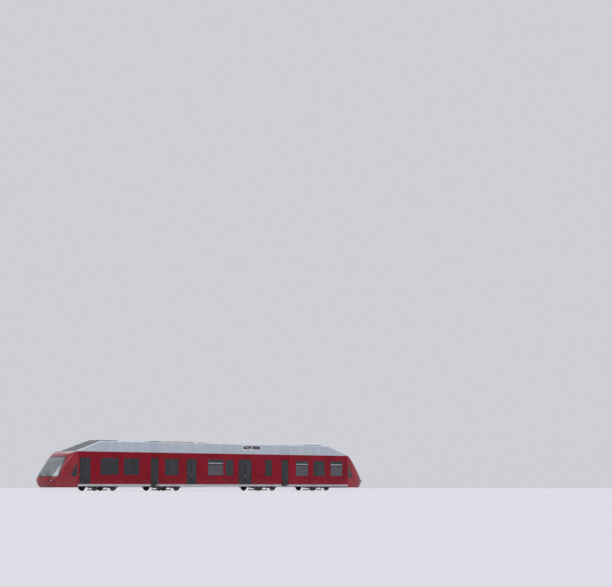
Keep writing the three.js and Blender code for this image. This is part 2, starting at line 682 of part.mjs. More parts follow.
function wheelset(x) {
  // Radius to the middle of a flat, distance from the centre line
  const half = [
    [AXLE_RADIUS, WHEEL_INNER + 10],
    [FLANGE_RADIUS, WHEEL_INNER],
    [FLANGE_RADIUS, WHEEL_INNER + 22],
    [TREAD_RADIUS, WHEEL_INNER + 34],
    [TREAD_RADIUS, WHEEL_OUTER],
    [TREAD_RADIUS - 50, WHEEL_OUTER],
    [COLLAR_RADIUS, WHEEL_OUTER - 38],
    [COLLAR_RADIUS, BEAM_INNER - 0.5],
    [JOURNAL_RADIUS, BEAM_INNER - 0.5],
    [JOURNAL_RADIUS, JOURNAL_END],
    [0, JOURNAL_END],
  ];
  const mirrored = half.slice().reverse().map(([r, y]) => [r, -y]);
  const corner = 1 / Math.cos(HALF_FLAT);
  const profile = [...mirrored, ...half]
    .map(([r, y]) => new THREE.Vector2(r === JOURNAL_RADIUS ? r : r * corner, y));
  const geometry = new THREE.LatheGeometry(profile, WHEEL_SIDES, HALF_FLAT);
  geometry.translate(x, 0, AXLE_HEIGHT);
  return solidOf(geometry);
}

// Bogie frame: side beams with the axle boxes, cross members, motors, springs, centre bearing, track brakes

function circle(x, z, radius, sides, turn) {
  return Array.from({ length: sides }, (_, i) => {
    const angle = turn + i * 2 * Math.PI / sides;
    return [x + radius * Math.sin(angle), z + radius * Math.cos(angle)];
  });
}

function sideBeam(x, side) {
  const [y0, y1] = acrossWall(side, BEAM_INNER, BEAM_OUTER);
  const rightHalf = [[560, 300], [680, 240], [1100, 240], [1130, 400], [1000, 480], [660, 480], [500, 400]];
  const leftHalf = rightHalf.slice().reverse().map(([dx, z]) => [-dx, z]);
  const bore = (JOURNAL_RADIUS + JOURNAL_CLEARANCE) / Math.cos(HALF_FLAT);
  const holes = [-1, 1].map((end) => circle(x + end * HALF_WHEELBASE, AXLE_HEIGHT, bore, WHEEL_SIDES, HALF_FLAT));
  return prismY([...rightHalf, ...leftHalf].map(([dx, z]) => [x + dx, z]), y0, y1, holes);
}

const BEARING_RADIUS = 200;
const SPRING_RADIUS = 85;
const BRAKE = { halfLength: 330, y0: 692, y1: 742, z0: 42, z1: 112 };

function bogieFrame(x) {
  const crossMembers = [-1, 1].map((end) => box(x + end * 240 - 60, x + end * 240 + 60,
    -BEAM_INNER - 10, BEAM_INNER + 10, 320, 410));
  const motors = [-1, 1].map((end) => box(x + Math.min(end * 290, end * 690), x + Math.max(end * 290, end * 690),
    -330, 330, 230, 400));
  const brakes = SIDES.flatMap((side) => {
    const [y0, y1] = acrossWall(side, BRAKE.y0, BRAKE.y1);
    return [
      box(x - BRAKE.halfLength, x + BRAKE.halfLength, y0, y1, BRAKE.z0, BRAKE.z1),
      box(x - 270, x - 210, y0 + 10, y1 - 10, BRAKE.z1 - 10, 330),
      box(x + 210, x + 270, y0 + 10, y1 - 10, BRAKE.z1 - 10, 330),
    ];
  });
  const springs = SIDES.map((side) => disc(x, side.y * (BEAM_INNER + BEAM_OUTER) / 2, SPRING_RADIUS,
    390, BOX_UNDERSIDE - SEAT_GAP, 12));
  return join([
    box(x - 300, x + 300, -360, 360, 370, 425),
    disc(x, 0, BEARING_RADIUS, 420, AISLE_UNDERSIDE - SEAT_GAP),
    ...crossMembers,
    ...motors,
    ...SIDES.map((side) => sideBeam(x, side)),
    ...brakes,
    ...springs,
  ]);
}

BOGIES.forEach((x, i) => {
  piece(`bogie_frame_${i + 1}`, bogieFrame(x), FINISH.frame);
  piece(`wheelset_${2 * i + 1}`, wheelset(x - HALF_WHEELBASE), FINISH.wheel);
  piece(`wheelset_${2 * i + 2}`, wheelset(x + HALF_WHEELBASE), FINISH.wheel);
});

// Pantograph, folded on the middle roof: base, lower arm, and upper arm with its collector head

const ARM_PIVOT = { x: 1500, z: 3100 };
const KNEE = { x: 60, z: 3180 };
const HEAD = { x: 1400, z: 3440 };
const ARM_HALF_WIDTH = 45;
const HEAD_PLATE = { y0: 400, y1: 425 };

// Straight arm between two points of the x-z plane
function arm(from, to, halfWidth, depth) {
  const angle = Math.atan2(to.z - from.z, to.x - from.x);
  const [nx, nz] = [-Math.sin(angle) * depth, Math.cos(angle) * depth];
  return prismY([
    [from.x - nx, from.z - nz],
    [to.x - nx, to.z - nz],
    [to.x + nx, to.z + nz],
    [from.x + nx, from.z + nz],
  ], -halfWidth, halfWidth);
}

// Short shaft along y
function shaft(x, z, radius, y0, y1) {
  const geometry = new THREE.CylinderGeometry(radius, radius, y1 - y0, 12);
  geometry.translate(x, (y0 + y1) / 2, z);
  return solidOf(geometry);
}

function pantographBase() {
  const feet = [[200, 420], [200, -420], [1500, 420], [1500, -420]]
    .map(([x, y]) => disc(x, y, 70, ROOFLINE + SEAT_GAP, 2960, 8));
  const rails = SIDES.map((side) => {
    const [y0, y1] = acrossWall(side, 390, 450);
    return box(100, 1600, y0, y1, 2950, 3010);
  });
  const ears = SIDES.map((side) => {
    const [y0, y1] = acrossWall(side, 90, 120);
    return box(ARM_PIVOT.x - 60, ARM_PIVOT.x + 60, y0, y1, 2960, ARM_PIVOT.z + 50);
  });
  const pin = shaft(ARM_PIVOT.x, ARM_PIVOT.z, 20, -115, 115);
  return join([box(1420, 1580, -440, 440, 2955, 3005), box(150, 250, -440, 440, 2955, 3005),
    ...feet, ...rails, ...ears, pin]);
}

function lowerArm() {
  const eye = shaft(ARM_PIVOT.x, ARM_PIVOT.z, 48, -89.5, 89.5);
  const knee = shaft(KNEE.x, KNEE.z, 20, -110, 110);
  const cheek = (y0, y1) => join([
    shaft(KNEE.x, KNEE.z, 42, y0, y1),
    prismY([[KNEE.x, KNEE.z - 30], [KNEE.x + 260, KNEE.z - 50], [KNEE.x + 260, KNEE.z - 5],
      [KNEE.x, KNEE.z + 30]], y0, y1),
  ]);
  const stub = { x: KNEE.x + 200, z: KNEE.z - 30 };
  return cut(join([
    arm(ARM_PIVOT, stub, ARM_HALF_WIDTH + 25, 28),
    eye, cheek(70, 100), cheek(-100, -70), knee,
    box(stub.x, stub.x + 50, -100, 100, stub.z - 20, stub.z + 15),
  ]), [shaft(ARM_PIVOT.x, ARM_PIVOT.z, 21.4, -200, 200)]);
}

function upperArm() {
  const eye = shaft(KNEE.x, KNEE.z, 45, -69.5, 69.5);
  return cut(join([
    arm(KNEE, HEAD, ARM_HALF_WIDTH - 5, 24),
    eye,
    shaft(HEAD.x, HEAD.z, 30, -HEAD_PLATE.y0 + 0.5, HEAD_PLATE.y0 - 0.5),
    shaft(HEAD.x, HEAD.z, 20, -HEAD_PLATE.y1 - 10, HEAD_PLATE.y1 + 10),
  ]), [shaft(KNEE.x, KNEE.z, 21.4, -200, 200)]);
}

// Collector head: two contact strips with down-turned horns, on end plates that hang on the arm's shaft
function collectorHead() {
  const plates = SIDES.map((side) => {
    const [y0, y1] = acrossWall(side, HEAD_PLATE.y0, HEAD_PLATE.y1);
    return box(HEAD.x - 150, HEAD.x + 150, y0, y1, HEAD.z - 45, HEAD.z + 70);
  });
  const strips = [-150, 110].map((dx) => box(HEAD.x + dx, HEAD.x + dx + 40, -520, 520, HEAD.z + 60, HEAD.z + 100));
  const horns = [-1, 1].flatMap((end) => [-130, 130].map((dx) => prismX([
    [end * 500, HEAD.z + 60],
    [end * 500, HEAD.z + 100],
    [end * 720, HEAD.z + 50],
    [end * 860, HEAD.z - 60],
    [end * 830, HEAD.z - 80],
    [end * 700, HEAD.z + 14],
  ], HEAD.x + dx - 16, HEAD.x + dx + 16)));
  return cut(join([...plates, ...strips, ...horns]), [shaft(HEAD.x, HEAD.z, 21.4, -500, 500)]);
}

piece('pantograph_base', pantographBase(), FINISH.arm);
piece('pantograph_lower_arm', lowerArm(), FINISH.arm);
piece('pantograph_upper_arm', upperArm(), FINISH.arm);
piece('pantograph_head', collectorHead(), FINISH.arm);

export default vehicle;
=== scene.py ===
import math

import bmesh
import bpy
import numpy as np
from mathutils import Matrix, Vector


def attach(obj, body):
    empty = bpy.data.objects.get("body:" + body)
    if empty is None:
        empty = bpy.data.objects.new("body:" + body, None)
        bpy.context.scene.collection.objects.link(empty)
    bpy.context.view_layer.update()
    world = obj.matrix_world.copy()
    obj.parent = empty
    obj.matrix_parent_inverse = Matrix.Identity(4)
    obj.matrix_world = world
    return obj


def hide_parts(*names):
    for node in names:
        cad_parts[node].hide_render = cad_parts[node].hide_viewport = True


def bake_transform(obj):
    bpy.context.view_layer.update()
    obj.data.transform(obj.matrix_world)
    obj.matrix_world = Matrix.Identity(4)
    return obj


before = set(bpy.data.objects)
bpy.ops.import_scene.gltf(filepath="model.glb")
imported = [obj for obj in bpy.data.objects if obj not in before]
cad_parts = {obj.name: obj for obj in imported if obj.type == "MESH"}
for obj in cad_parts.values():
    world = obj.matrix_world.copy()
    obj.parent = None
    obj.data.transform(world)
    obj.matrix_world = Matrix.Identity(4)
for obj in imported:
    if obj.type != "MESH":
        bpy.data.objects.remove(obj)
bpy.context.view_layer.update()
scene = bpy.context.scene

# Studio: one pale plain floor under an even, faintly blue light, as under the photograph's bright
# overcast, with a low broad lamp for the gloss of the dome and pillars. The camera is at floor
# level, some 148 m off the vehicle's front quarter, with a long lens.
SKY_LIGHT = (0.86, 0.87, 0.93, 1.0)
SKY_STRENGTH = 0.72
CAMERA_PLACE = (-101.8, -107.0, 0.2)
CAMERA_HEADING = (0.724, 0.690)
CAMERA_PITCH = math.radians(5.74)
CAMERA_LENS = 113.9
CAMERA_RANGE = 4000.0
FLOOR_REACH = 1500.0


def shader_of(name, color, **sockets):
    """A new material with one Principled shader; sockets are set on the shader itself."""
    material = bpy.data.materials.new(name)
    material.use_nodes = True
    shader = material.node_tree.nodes["Principled BSDF"]
    shader.inputs["Base Color"].default_value = (*color, 1.0)
    for socket, value in sockets.items():
        shader.inputs[socket.replace("_", " ")].default_value = value
    return material, material.node_tree, shader


def add_node(tree, kind, links=(), settings=(), **values):
    """A node of that kind; links are (input, output socket) pairs, settings are attributes."""
    node = tree.nodes.new(kind)
    for name, value in dict(settings).items():
        setattr(node, name, value)
    for name, value in values.items():
        node.inputs[name.replace("_", " ")].default_value = value
    for name, socket in links:
        tree.links.new(socket, node.inputs[name])
    return node


def object_noise(tree, scale, detail, stretch=(1.0, 1.0, 1.0)):
    """Noise over Object coordinates, stretched along the axes; returns its value's socket."""
    place = add_node(tree, "ShaderNodeTexCoord")
    mapped = add_node(tree, "ShaderNodeMapping", [("Vector", place.outputs["Object"])], Scale=stretch)
    noise = add_node(tree, "ShaderNodeTexNoise", [("Vector", mapped.outputs["Vector"])],
                     Scale=scale, Detail=detail)
    return noise.outputs["Fac"]


def ranged(tree, value, low, high, out_low=0.0, out_high=1.0):
    """Maps low..high of a value to out_low..out_high, held at both ends."""
    node = add_node(tree, "ShaderNodeMapRange", [("Value", value)], **{
        "From_Min": low, "From_Max": high, "To_Min": out_low, "To_Max": out_high})
    return node.outputs["Result"]


def feed(tree, socket, value):
    """Gives an input its value: a link to another socket, a number, or a colour."""
    if isinstance(value, bpy.types.NodeSocket):
        tree.links.new(value, socket)
    else:
        socket.default_value = (*value, 1.0) if isinstance(value, tuple) else value


def blended(tree, share, first, second):
    """Mixes two colours, or a socket and a colour, by a share from 0 to 1."""
    node = add_node(tree, "ShaderNodeMix", settings={"data_type": "RGBA"})
    for index, value in ((0, share), (6, first), (7, second)):
        feed(tree, node.inputs[index], value)
    return node.outputs[2]


def toned(tree, shader, share, first, second):
    """Base colour that goes from first to second by a share from 0 to 1."""
    tree.links.new(blended(tree, share, first, second), shader.inputs["Base Color"])


def roughened(tree, shader, value, distance, strength=0.4):
    """Bump from a height value, in metres, on the shader's normal."""
    bump = add_node(tree, "ShaderNodeBump", [("Height", value)], Strength=strength, Distance=distance)
    tree.links.new(bump.outputs["Normal"], shader.inputs["Normal"])


def patchy(name, color, tones, noise, span, grain=None, **sockets):
    """Finish in two tones: noise, mapped from span and held at both ends, shares them out. The
    grain is a finer noise, given by scale, detail, depth of its bump in metres and strength."""
    material, tree, shader = shader_of(name, color, **sockets)
    toned(tree, shader, ranged(tree, object_noise(tree, *noise), *span), *tones)
    if grain:
        scale, detail, depth, strength = grain
        roughened(tree, shader, object_noise(tree, scale, detail), depth, strength)
    return material


sky = bpy.data.worlds.new("even_sky")
sky.use_nodes = True
sky.node_tree.nodes["Background"].inputs["Color"].default_value = SKY_LIGHT
sky.node_tree.nodes["Background"].inputs["Strength"].default_value = SKY_STRENGTH
scene.world = sky

floor_mesh = bpy.data.meshes.new("studio_floor")
floor_corners = [(a * FLOOR_REACH, b * FLOOR_REACH, 0) for a, b in ((-1, -1), (1, -1), (1, 1), (-1, 1))]
floor_mesh.from_pydata(floor_corners, [], [(0, 1, 2, 3)])
floor = bpy.data.objects.new("studio_floor", floor_mesh)
scene.collection.objects.link(floor)
floor.data.materials.append(patchy("pale_floor", (0.80, 0.80, 0.83), ((0.79, 0.79, 0.82), (0.82, 0.82, 0.85)),
                                   (0.15, 4.0), (0.3, 0.7), Roughness=0.85))

for name, toward, energy, spread in (("broad_lamp", (0.55, 0.62, -0.75), 0.9, 60),
                                     ("back_lamp", (-0.6, -0.5, -0.6), 0.35, 40)):
    lamp = bpy.data.lights.new(name, "SUN")
    lamp.energy = energy
    lamp.angle = math.radians(spread)
    lamp_object = bpy.data.objects.new(name, lamp)
    lamp_object.rotation_mode = "QUATERNION"
    lamp_object.rotation_quaternion = Vector(toward).to_track_quat("-Z", "Y")
    scene.collection.objects.link(lamp_object)

camera = bpy.data.cameras.new("camera")
camera.lens = CAMERA_LENS
camera.clip_end = CAMERA_RANGE
camera_object = bpy.data.objects.new("camera", camera)
camera_object.location = CAMERA_PLACE
camera_object.rotation_mode = "QUATERNION"
camera_object.rotation_quaternion = Vector((
    CAMERA_HEADING[0] * math.cos(CAMERA_PITCH), CAMERA_HEADING[1] * math.cos(CAMERA_PITCH),
    math.sin(CAMERA_PITCH))).to_track_quat("-Z", "Y")
scene.collection.objects.link(camera_object)
scene.camera = camera_object
scene.view_settings.view_transform = "Standard"

# Side walls: welded steel panels with filler and a deep red two-layer lacquer, flush with the door
# and window openings. Road film dulls the lower edge, and the lacquer has a faint orange peel.
SECTION_BODY = {"front": "front_section", "middle": "middle_section", "rear": "rear_section"}
RED = (0.265, 0.003, 0.016)
RED_DEEP = (0.19, 0.002, 0.012)
FILM = (0.20, 0.17, 0.16)


def object_axes(tree):
    """Object coordinates, split into their X, Y and Z sockets."""
    place = add_node(tree, "ShaderNodeTexCoord")
    return add_node(tree, "ShaderNodeSeparateXYZ", [("Vector", place.outputs["Object"])]).outputs


def computed(tree, operation, *values):
    """Result of one sum on sockets or numbers, in the order of the node's inputs."""
    node = add_node(tree, "ShaderNodeMath", settings={"operation": operation})
    for socket, value in zip(node.inputs, values):
        feed(tree, socket, value)
    return node.outputs[0]


def lacquer(name, color, shade, roughness, film=0.35, coat=0.05, top=1.1, gloss=0.11):
    """Lacquer: colour drifts to shade over broad noise, and road film fades out with height, from
    the share film at the sill to none at the height top; fine noise gives the orange peel."""
    material, tree, shader = shader_of(name, color, Coat_Weight=coat, Coat_Roughness=0.06,
                                       Roughness=roughness, Specular_IOR_Level=gloss)
    drift = ranged(tree, object_noise(tree, 0.7, 6.0), 0.35, 0.65)
    low = ranged(tree, object_axes(tree)["Z"], 0.3, top, film, 0.0)
    streaks = ranged(tree, object_noise(tree, 2.0, 6.0, (1.5, 1.5, 0.5)), 0.3, 0.8, 0.0, 0.6)
    dulled = computed(tree, "MULTIPLY", low, streaks)
    lacquered = blended(tree, drift, color, shade)
    toned(tree, shader, dulled, lacquered, FILM)
    tree.links.new(ranged(tree, streaks, 0.0, 1.0, roughness, roughness + 0.12), shader.inputs["Roughness"])
    roughened(tree, shader, object_noise(tree, 160.0, 2.0), 0.0006, 0.25)
    return material


def dress(material, *prefixes):
    """Gives a finish to the frame's own solids whose names start so."""
    for name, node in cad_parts.items():
        if name.startswith(prefixes):
            node.data.materials.clear()
            node.data.materials.append(material)


LINING = (0.40, 0.41, 0.42)
LINING_DEPTH = 1.196


def lined(material):
    """Inside of a wall: where the distance from the centre line is below the lining's depth, the
    lacquer gives way to a pale moulded lining."""
    tree = material.node_tree
    shader = tree.nodes["Principled BSDF"]
    away = computed(tree, "ABSOLUTE", object_axes(tree)["Y"])
    inside = ranged(tree, away, LINING_DEPTH - 0.002, LINING_DEPTH, 1.0, 0.0)
    lacquered = shader.inputs["Base Color"].links[0].from_socket
    toned(tree, shader, inside, lacquered, LINING)
    return material


red_lacquer = lacquer("red_lacquer", RED, RED_DEEP, 0.30)
dress(lined(lacquer("wall_lacquer", RED, RED_DEEP, 0.30)), "side_wall")

# Side windows: tinted toughened panes bonded into the walls, set back a few millimetres behind a
# black rubber profile with round inner corners. Three windows of each side have a tip-in upper
# pane, under a bar of natural aluminium between two dark seals.
WALL_FACE = 1.250
GLASS_FACE = 1.246
GLASS_HEIGHTS = (1.14, 2.34)
# First and last x of each opening of the near side; the far side has them turned end for end
WINDOWS = {"front": [(-11.98, -10.28), (-9.78, -8.33)],
           "middle": [(-5.83, -4.48), (-1.48, 0.12), (0.35, 1.17), (4.62, 5.35)],
           "rear": [(8.02, 9.42), (10.02, 11.32), (11.99, 13.39)]}
DOORWAYS = {"front": [(-13.90, -12.90)], "middle": [(-3.65, -2.63), (1.72, 3.12)], "rear": []}
TIP_IN = [(-1.48, 0.12), (8.02, 9.42), (11.99, 13.39)]
SIDES = {"near": -1, "far": 1}
TURNED = {"front": "rear", "middle": "middle", "rear": "front"}


def tinted_glass(name, tint, roughness=0.02, mirror=0.0):
    """Tinted pane: clear transmission through a dark tint, with faint dust that roughens it; mirror
    is the share of a metal oxide film that reflects the sky."""
    material, tree, shader = shader_of(name, tint, Transmission_Weight=0.92, IOR=1.45,
                                       Roughness=roughness, Specular_IOR_Level=0.6, Metallic=mirror)
    dust = ranged(tree, object_noise(tree, 2.0, 8.0, (1.0, 1.0, 0.5)), 0.4, 0.8)
    tree.links.new(ranged(tree, dust, 0.0, 1.0, roughness, roughness + 0.06), shader.inputs["Roughness"])
    grime = tuple(0.75 * c + 0.03 for c in tint)
    toned(tree, shader, dust, tint, grime)
    return material


def rubber_of(name, color=(0.018, 0.018, 0.020)):
    """Black rubber, greyed in patches by weather, with a fine matt grain."""
    greyed = tuple(c * 1.9 + 0.008 for c in color)
    return patchy(name, color, (color, greyed), (5.0, 6.0), (0.35, 0.7), (420.0, 2.0, 0.0005, 0.4),
                  Roughness=0.6)


def metal_of(name, color, shade, roughness, metallic=1.0, grain=(60.0, 60.0, 60.0)):
    """Bare or plated metal: tone drifts to shade, and a fine grain, stretched by grain, dulls it."""
    material, tree, shader = shader_of(name, color, Metallic=metallic, Roughness=roughness)
    drift = ranged(tree, object_noise(tree, 4.0, 6.0), 0.35, 0.65)
    toned(tree, shader, drift, color, shade)
    lines = object_noise(tree, 1.0, 3.0, grain)
    tree.links.new(ranged(tree, lines, 0.3, 0.7, roughness, min(roughness + 0.15, 1.0)),
                   shader.inputs["Roughness"])
    roughened(tree, shader, lines, 0.0004)
    return material


def grid_faces(rows, columns, around, along):
    """Quads of a grid; around joins the last column to the first, along the last row to the first."""
    i = np.arange(rows if along else rows - 1)[:, None]
    j = np.arange(columns if around else columns - 1)[None, :]
    i_next, j_next = (i + 1) % rows, (j + 1) % columns
    corners = [i * columns + j, i * columns + j_next, i_next * columns + j_next, i_next * columns + j]
    return np.stack(np.broadcast_arrays(*corners), -1).reshape(-1, 4)


def sheet_part(points, around, along=False):
    """A grid of points (rows, columns, 3) as vertices and quads."""
    return points.reshape(-1, 3), grid_faces(*points.shape[:2], around, along)


def rounded_outline(half_a, half_b, radius, steps):
    """Points round a rectangle of those half sizes: at corner k, centre plus radius times the
    cosine and sine of an angle that runs over its quarter turn in steps."""
    radius = min(radius, half_a, half_b)
    turn = np.linspace(0, np.pi / 2, steps + 1)
    angles = (turn[None, :] + np.arange(4)[:, None] * np.pi / 2).ravel()
    sign_a = np.repeat([1, -1, -1, 1], steps + 1)
    sign_b = np.repeat([1, 1, -1, -1], steps + 1)
    return np.stack([sign_a * (half_a - radius) + radius * np.cos(angles),
                     sign_b * (half_b - radius) + radius * np.sin(angles)], -1)


def side_ring(side, span, heights, width, corners, depths):
    """Ring on a side wall: an outer and an inner rounded rectangle, width apart, joined over
    depths; corners are the outer and inner corner radii."""
    centre = np.array([sum(span) / 2, sum(heights) / 2])
    half = np.array([(span[1] - span[0]) / 2, (heights[1] - heights[0]) / 2])
    outer = rounded_outline(half[0], half[1], corners[0], 5) + centre
    inner = rounded_outline(half[0] - width, half[1] - width, corners[1], 5) + centre
    rows = [(outer, depths[0]), (outer, depths[1]), (inner, depths[1]), (inner, depths[0])]
    points = np.stack([np.stack([o[:, 0], np.full(len(o), side * y), o[:, 1]], -1) for o, y in rows])
    return sheet_part(points, around=True, along=True)


def block(low, high, edge, axis, steps=2):
    """Rounded box: a rounded rectangle carried along one axis, drawn in by a quarter circle of
    radius edge at both ends, where it closes on its middle."""
    low, high = np.minimum(low, high).astype(float), np.maximum(low, high).astype(float)
    a, b = [k for k in range(3) if k != axis]
    half, middle = (high - low) / 2, (high + low) / 2
    edge = min(edge, *(half * 0.98))
    turn = np.linspace(0, np.pi / 2, steps + 1)
    inset = np.concatenate([edge * (1 - np.sin(turn)), edge * (1 - np.sin(turn[::-1]))])
    rise = np.concatenate([edge * (1 - np.cos(turn)) - half[axis],
                           half[axis] - edge * (1 - np.cos(turn[::-1]))])
    rings = [np.zeros((4 * (steps + 1), 3))]
    rings[0][:, axis] = rise[0]
    for drawn_in, along in zip(inset, rise):
        ring = np.zeros((4 * (steps + 1), 3))
        outline = rounded_outline(half[a] - drawn_in, half[b] - drawn_in, max(edge - drawn_in, edge * 0.2),
                                  steps)
        ring[:, a], ring[:, b], ring[:, axis] = outline[:, 0], outline[:, 1], along
        rings.append(ring)
    rings.append(np.zeros_like(rings[0]))
    rings[-1][:, axis] = rise[-1]
    return sheet_part(np.stack(rings) + middle, around=True)


def tube(path, radius, sides):
    """Round bar: circles of the given radius, or radii, across a path, closed at both ends; each
    circle lies across the path's local direction."""
    path = np.asarray(path, float)
    along = np.gradient(path, axis=0)
    along /= np.linalg.norm(along, axis=1)[:, None]
    reference = np.eye(3)[np.argmin(np.abs(along).sum(0))]
    first = np.cross(along, reference)
    first /= np.linalg.norm(first, axis=1)[:, None]
    second = np.cross(along, first)
    turn = np.linspace(0, 2 * np.pi, sides, endpoint=False)
    radii = np.broadcast_to(radius, len(path))[:, None, None]
    rings = path[:, None] + radii * (np.cos(turn)[None, :, None] * first[:, None]
                                     + np.sin(turn)[None, :, None] * second[:, None])
    ends = [np.repeat(path[[k], None], sides, 1) for k in (0, -1)]
    return sheet_part(np.concatenate([ends[0], rings, ends[1]]), around=True)


def turned_part(profile, centre, axis, sides):
    """Turned solid: (place along the axis, radius) pairs swept round that axis through centre."""
    profile = np.asarray(profile, float)
    a, b = [(1, 2), (2, 0), (0, 1)][axis]
    turn = np.linspace(0, 2 * np.pi, sides, endpoint=False)
    points = np.zeros((len(profile), sides, 3))
    points[..., axis] = profile[:, :1]
    points[..., a] = profile[:, 1:] * np.cos(turn)
    points[..., b] = profile[:, 1:] * np.sin(turn)
    return sheet_part(points + np.asarray(centre, float), around=True)


def turned_about(part):
    """The same part after half a turn about the upright axis through the vehicle's middle."""
    return part[0] * [-1, -1, 1], part[1]


def moved(part, shift):
    """The same part moved by shift."""
    return part[0] + np.asarray(shift, float), part[1]


def placed(name, mesh, material, body, replaces, crease):
    """A finished mesh as a piece on its body, smooth but for edges sharper than crease degrees."""
    mesh.shade_smooth()
    mesh.set_sharp_from_angle(angle=math.radians(crease))
    mesh.materials.append(material)
    made = bpy.data.objects.new(name, mesh)
    scene.collection.objects.link(made)
    if body:
        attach(made, body)
    if replaces:
        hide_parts(*replaces)
    return made


def make_piece(name, parts, material, body=None, replaces=(), crease=35):
    """One mesh from parts: vertices and quads joined, doubles merged, faces turned outwards."""
    starts = np.cumsum([0] + [len(points) for points, _ in parts])
    mesh = bpy.data.meshes.new(name)
    points = np.concatenate([p for p, _ in parts])
    faces = [face for (_, f), start in zip(parts, starts) for face in (f + start).tolist()]
    mesh.from_pydata(points.tolist(), [], faces)
    whole = bmesh.new()
    whole.from_mesh(mesh)
    bmesh.ops.remove_doubles(whole, verts=whole.verts, dist=2e-5)
    bmesh.ops.dissolve_degenerate(whole, edges=whole.edges, dist=1e-6)
    bmesh.ops.recalc_face_normals(whole, faces=whole.faces)
    whole.to_mesh(mesh)
    whole.free()
    return placed(name, mesh, material, body, replaces, crease)


def make_pieces(body, ending, *rows):
    """Makes a piece from each row: name, parts, material, slot and, where it replaces one, the
    node's name. The ending goes behind both names."""
    for name, parts, material, slot, *nodes in rows:
        make_piece(name + ending, parts, material, body, [node + ending for node in nodes])


side_glass = tinted_glass("side_glass", (0.16, 0.17, 0.20))
black_rubber = rubber_of("black_rubber")
natural_aluminium = metal_of("natural_aluminium", (0.72, 0.73, 0.75), (0.60, 0.61, 0.63), 0.32)
dress(side_glass, "glazing")


def spans_on(side, section, table):
    """Openings of one side of a section: the table's own for the near side, turned for the far."""
    if SIDES[side] < 0:
        return table[section]
    return [(-b, -a) for a, b in table[TURNED[section]]]


tip_frame = metal_of("tip_frame", (0.40, 0.39, 0.42), (0.32, 0.31, 0.34), 0.38, metallic=0.3)
vented_glass = tinted_glass("vented_glass", (0.32, 0.30, 0.33), 0.04, mirror=0.22)
# Piece, margin at both ends, heights, depths, radius of the edges, material, slot
TIP_IN_PARTS = (
    ("tip_in_bar", 0.03, [(2.020, 2.100)], (GLASS_FACE + 0.0002, WALL_FACE - 0.0008),
     0.0012, tip_frame, "roof_metal"),
    ("tip_in_seal", 0.03, [(1.925, 2.018), (2.102, 2.125)], (GLASS_FACE + 0.0002, WALL_FACE - 0.0016),
     0.0008, black_rubber, "bellows_fabric"),
    ("vented_pane", 0.031, [(GLASS_HEIGHTS[0] + 0.031, 1.923)], (GLASS_FACE + 0.0001, GLASS_FACE + 0.0013),
     0.0005, vented_glass, "tinted_glass"))
for section, body in SECTION_BODY.items():
    for side, sign in SIDES.items():
        openings = spans_on(side, section, WINDOWS)
        rings = [side_ring(sign, (a + 0.0005, b - 0.0005),
                           (GLASS_HEIGHTS[0] + 0.0005, GLASS_HEIGHTS[1] - 0.0005), 0.030, (0.004, 0.085),
                           (GLASS_FACE + 0.0002, WALL_FACE - 0.0006)) for a, b in openings]
        make_piece(f"window_rubber_{section}_{side}", rings, black_rubber, body)
        tips = [(a, b) for a, b in openings if ((a, b) if sign < 0 else (-b, -a)) in TIP_IN]
        for name, margin, heights, (back, face), edge, material, slot in TIP_IN_PARTS if tips else ():
            bars = [block((a + margin, sign * back, low), (b - margin, sign * face, high), edge, 0, 1)
                    for a, b in tips for low, high in heights]
            make_piece(f"{name}_{section}_{side}", bars, material, body)

# Plug doors: black lacquered aluminium leaves with tall panes, closing on two soft finger seals at
# their meeting edge. A push button in a raised bezel of bright steel sits on each leaf.
DOOR_FACE = 1.245
DOOR_HEIGHTS = (0.4803, 2.356)
DOOR_PANE = (0.62, 2.285)
DOOR_MARGIN = 0.075
DOORWAY = (0.482, 2.3595)
BUTTON_HEIGHT = 1.12
# Distance out from the door's face, radius
BEZEL = [(-0.001, 0.0), (-0.001, 0.034), (0.003, 0.032), (0.004, 0.027), (0.002, 0.025), (0.002, 0.0)]
BUTTON = [(0.002, 0.0), (0.002, 0.022), (0.0042, 0.018), (0.0045, 0.0)]
door_lacquer = lacquer("door_lacquer", (0.020, 0.021, 0.025), (0.028, 0.028, 0.032), 0.28, film=0.5)


def varied(name, color, shade, scale, bump=0.0003, **sockets):
    """Small moulded finish: colour drifts to shade over fine noise, with a faint bump."""
    return patchy(name, color, (color, shade), (scale, 5.0), (0.35, 0.65), (scale * 8, 2.0, bump, 0.3),
                  **sockets)


button_lens = varied("button_lens", (0.10, 0.42, 0.20), (0.06, 0.30, 0.14), 60.0, Roughness=0.15,
                     Coat_Weight=0.6)
bright_steel = metal_of("bright_steel", (0.62, 0.62, 0.63), (0.50, 0.50, 0.52), 0.25, grain=(90.0, 90.0, 6.0))
dress(door_lacquer, "door")


def leaves_of(span):
    """The two leaves' spans of a wide doorway, or the one leaf of a narrow one."""
    a, b = span[0] + 0.004, span[1] - 0.004
    if b - a > 1.01:
        middle = (a + b) / 2
        return [(a, middle), (middle, b)]
    return [(a, b)]


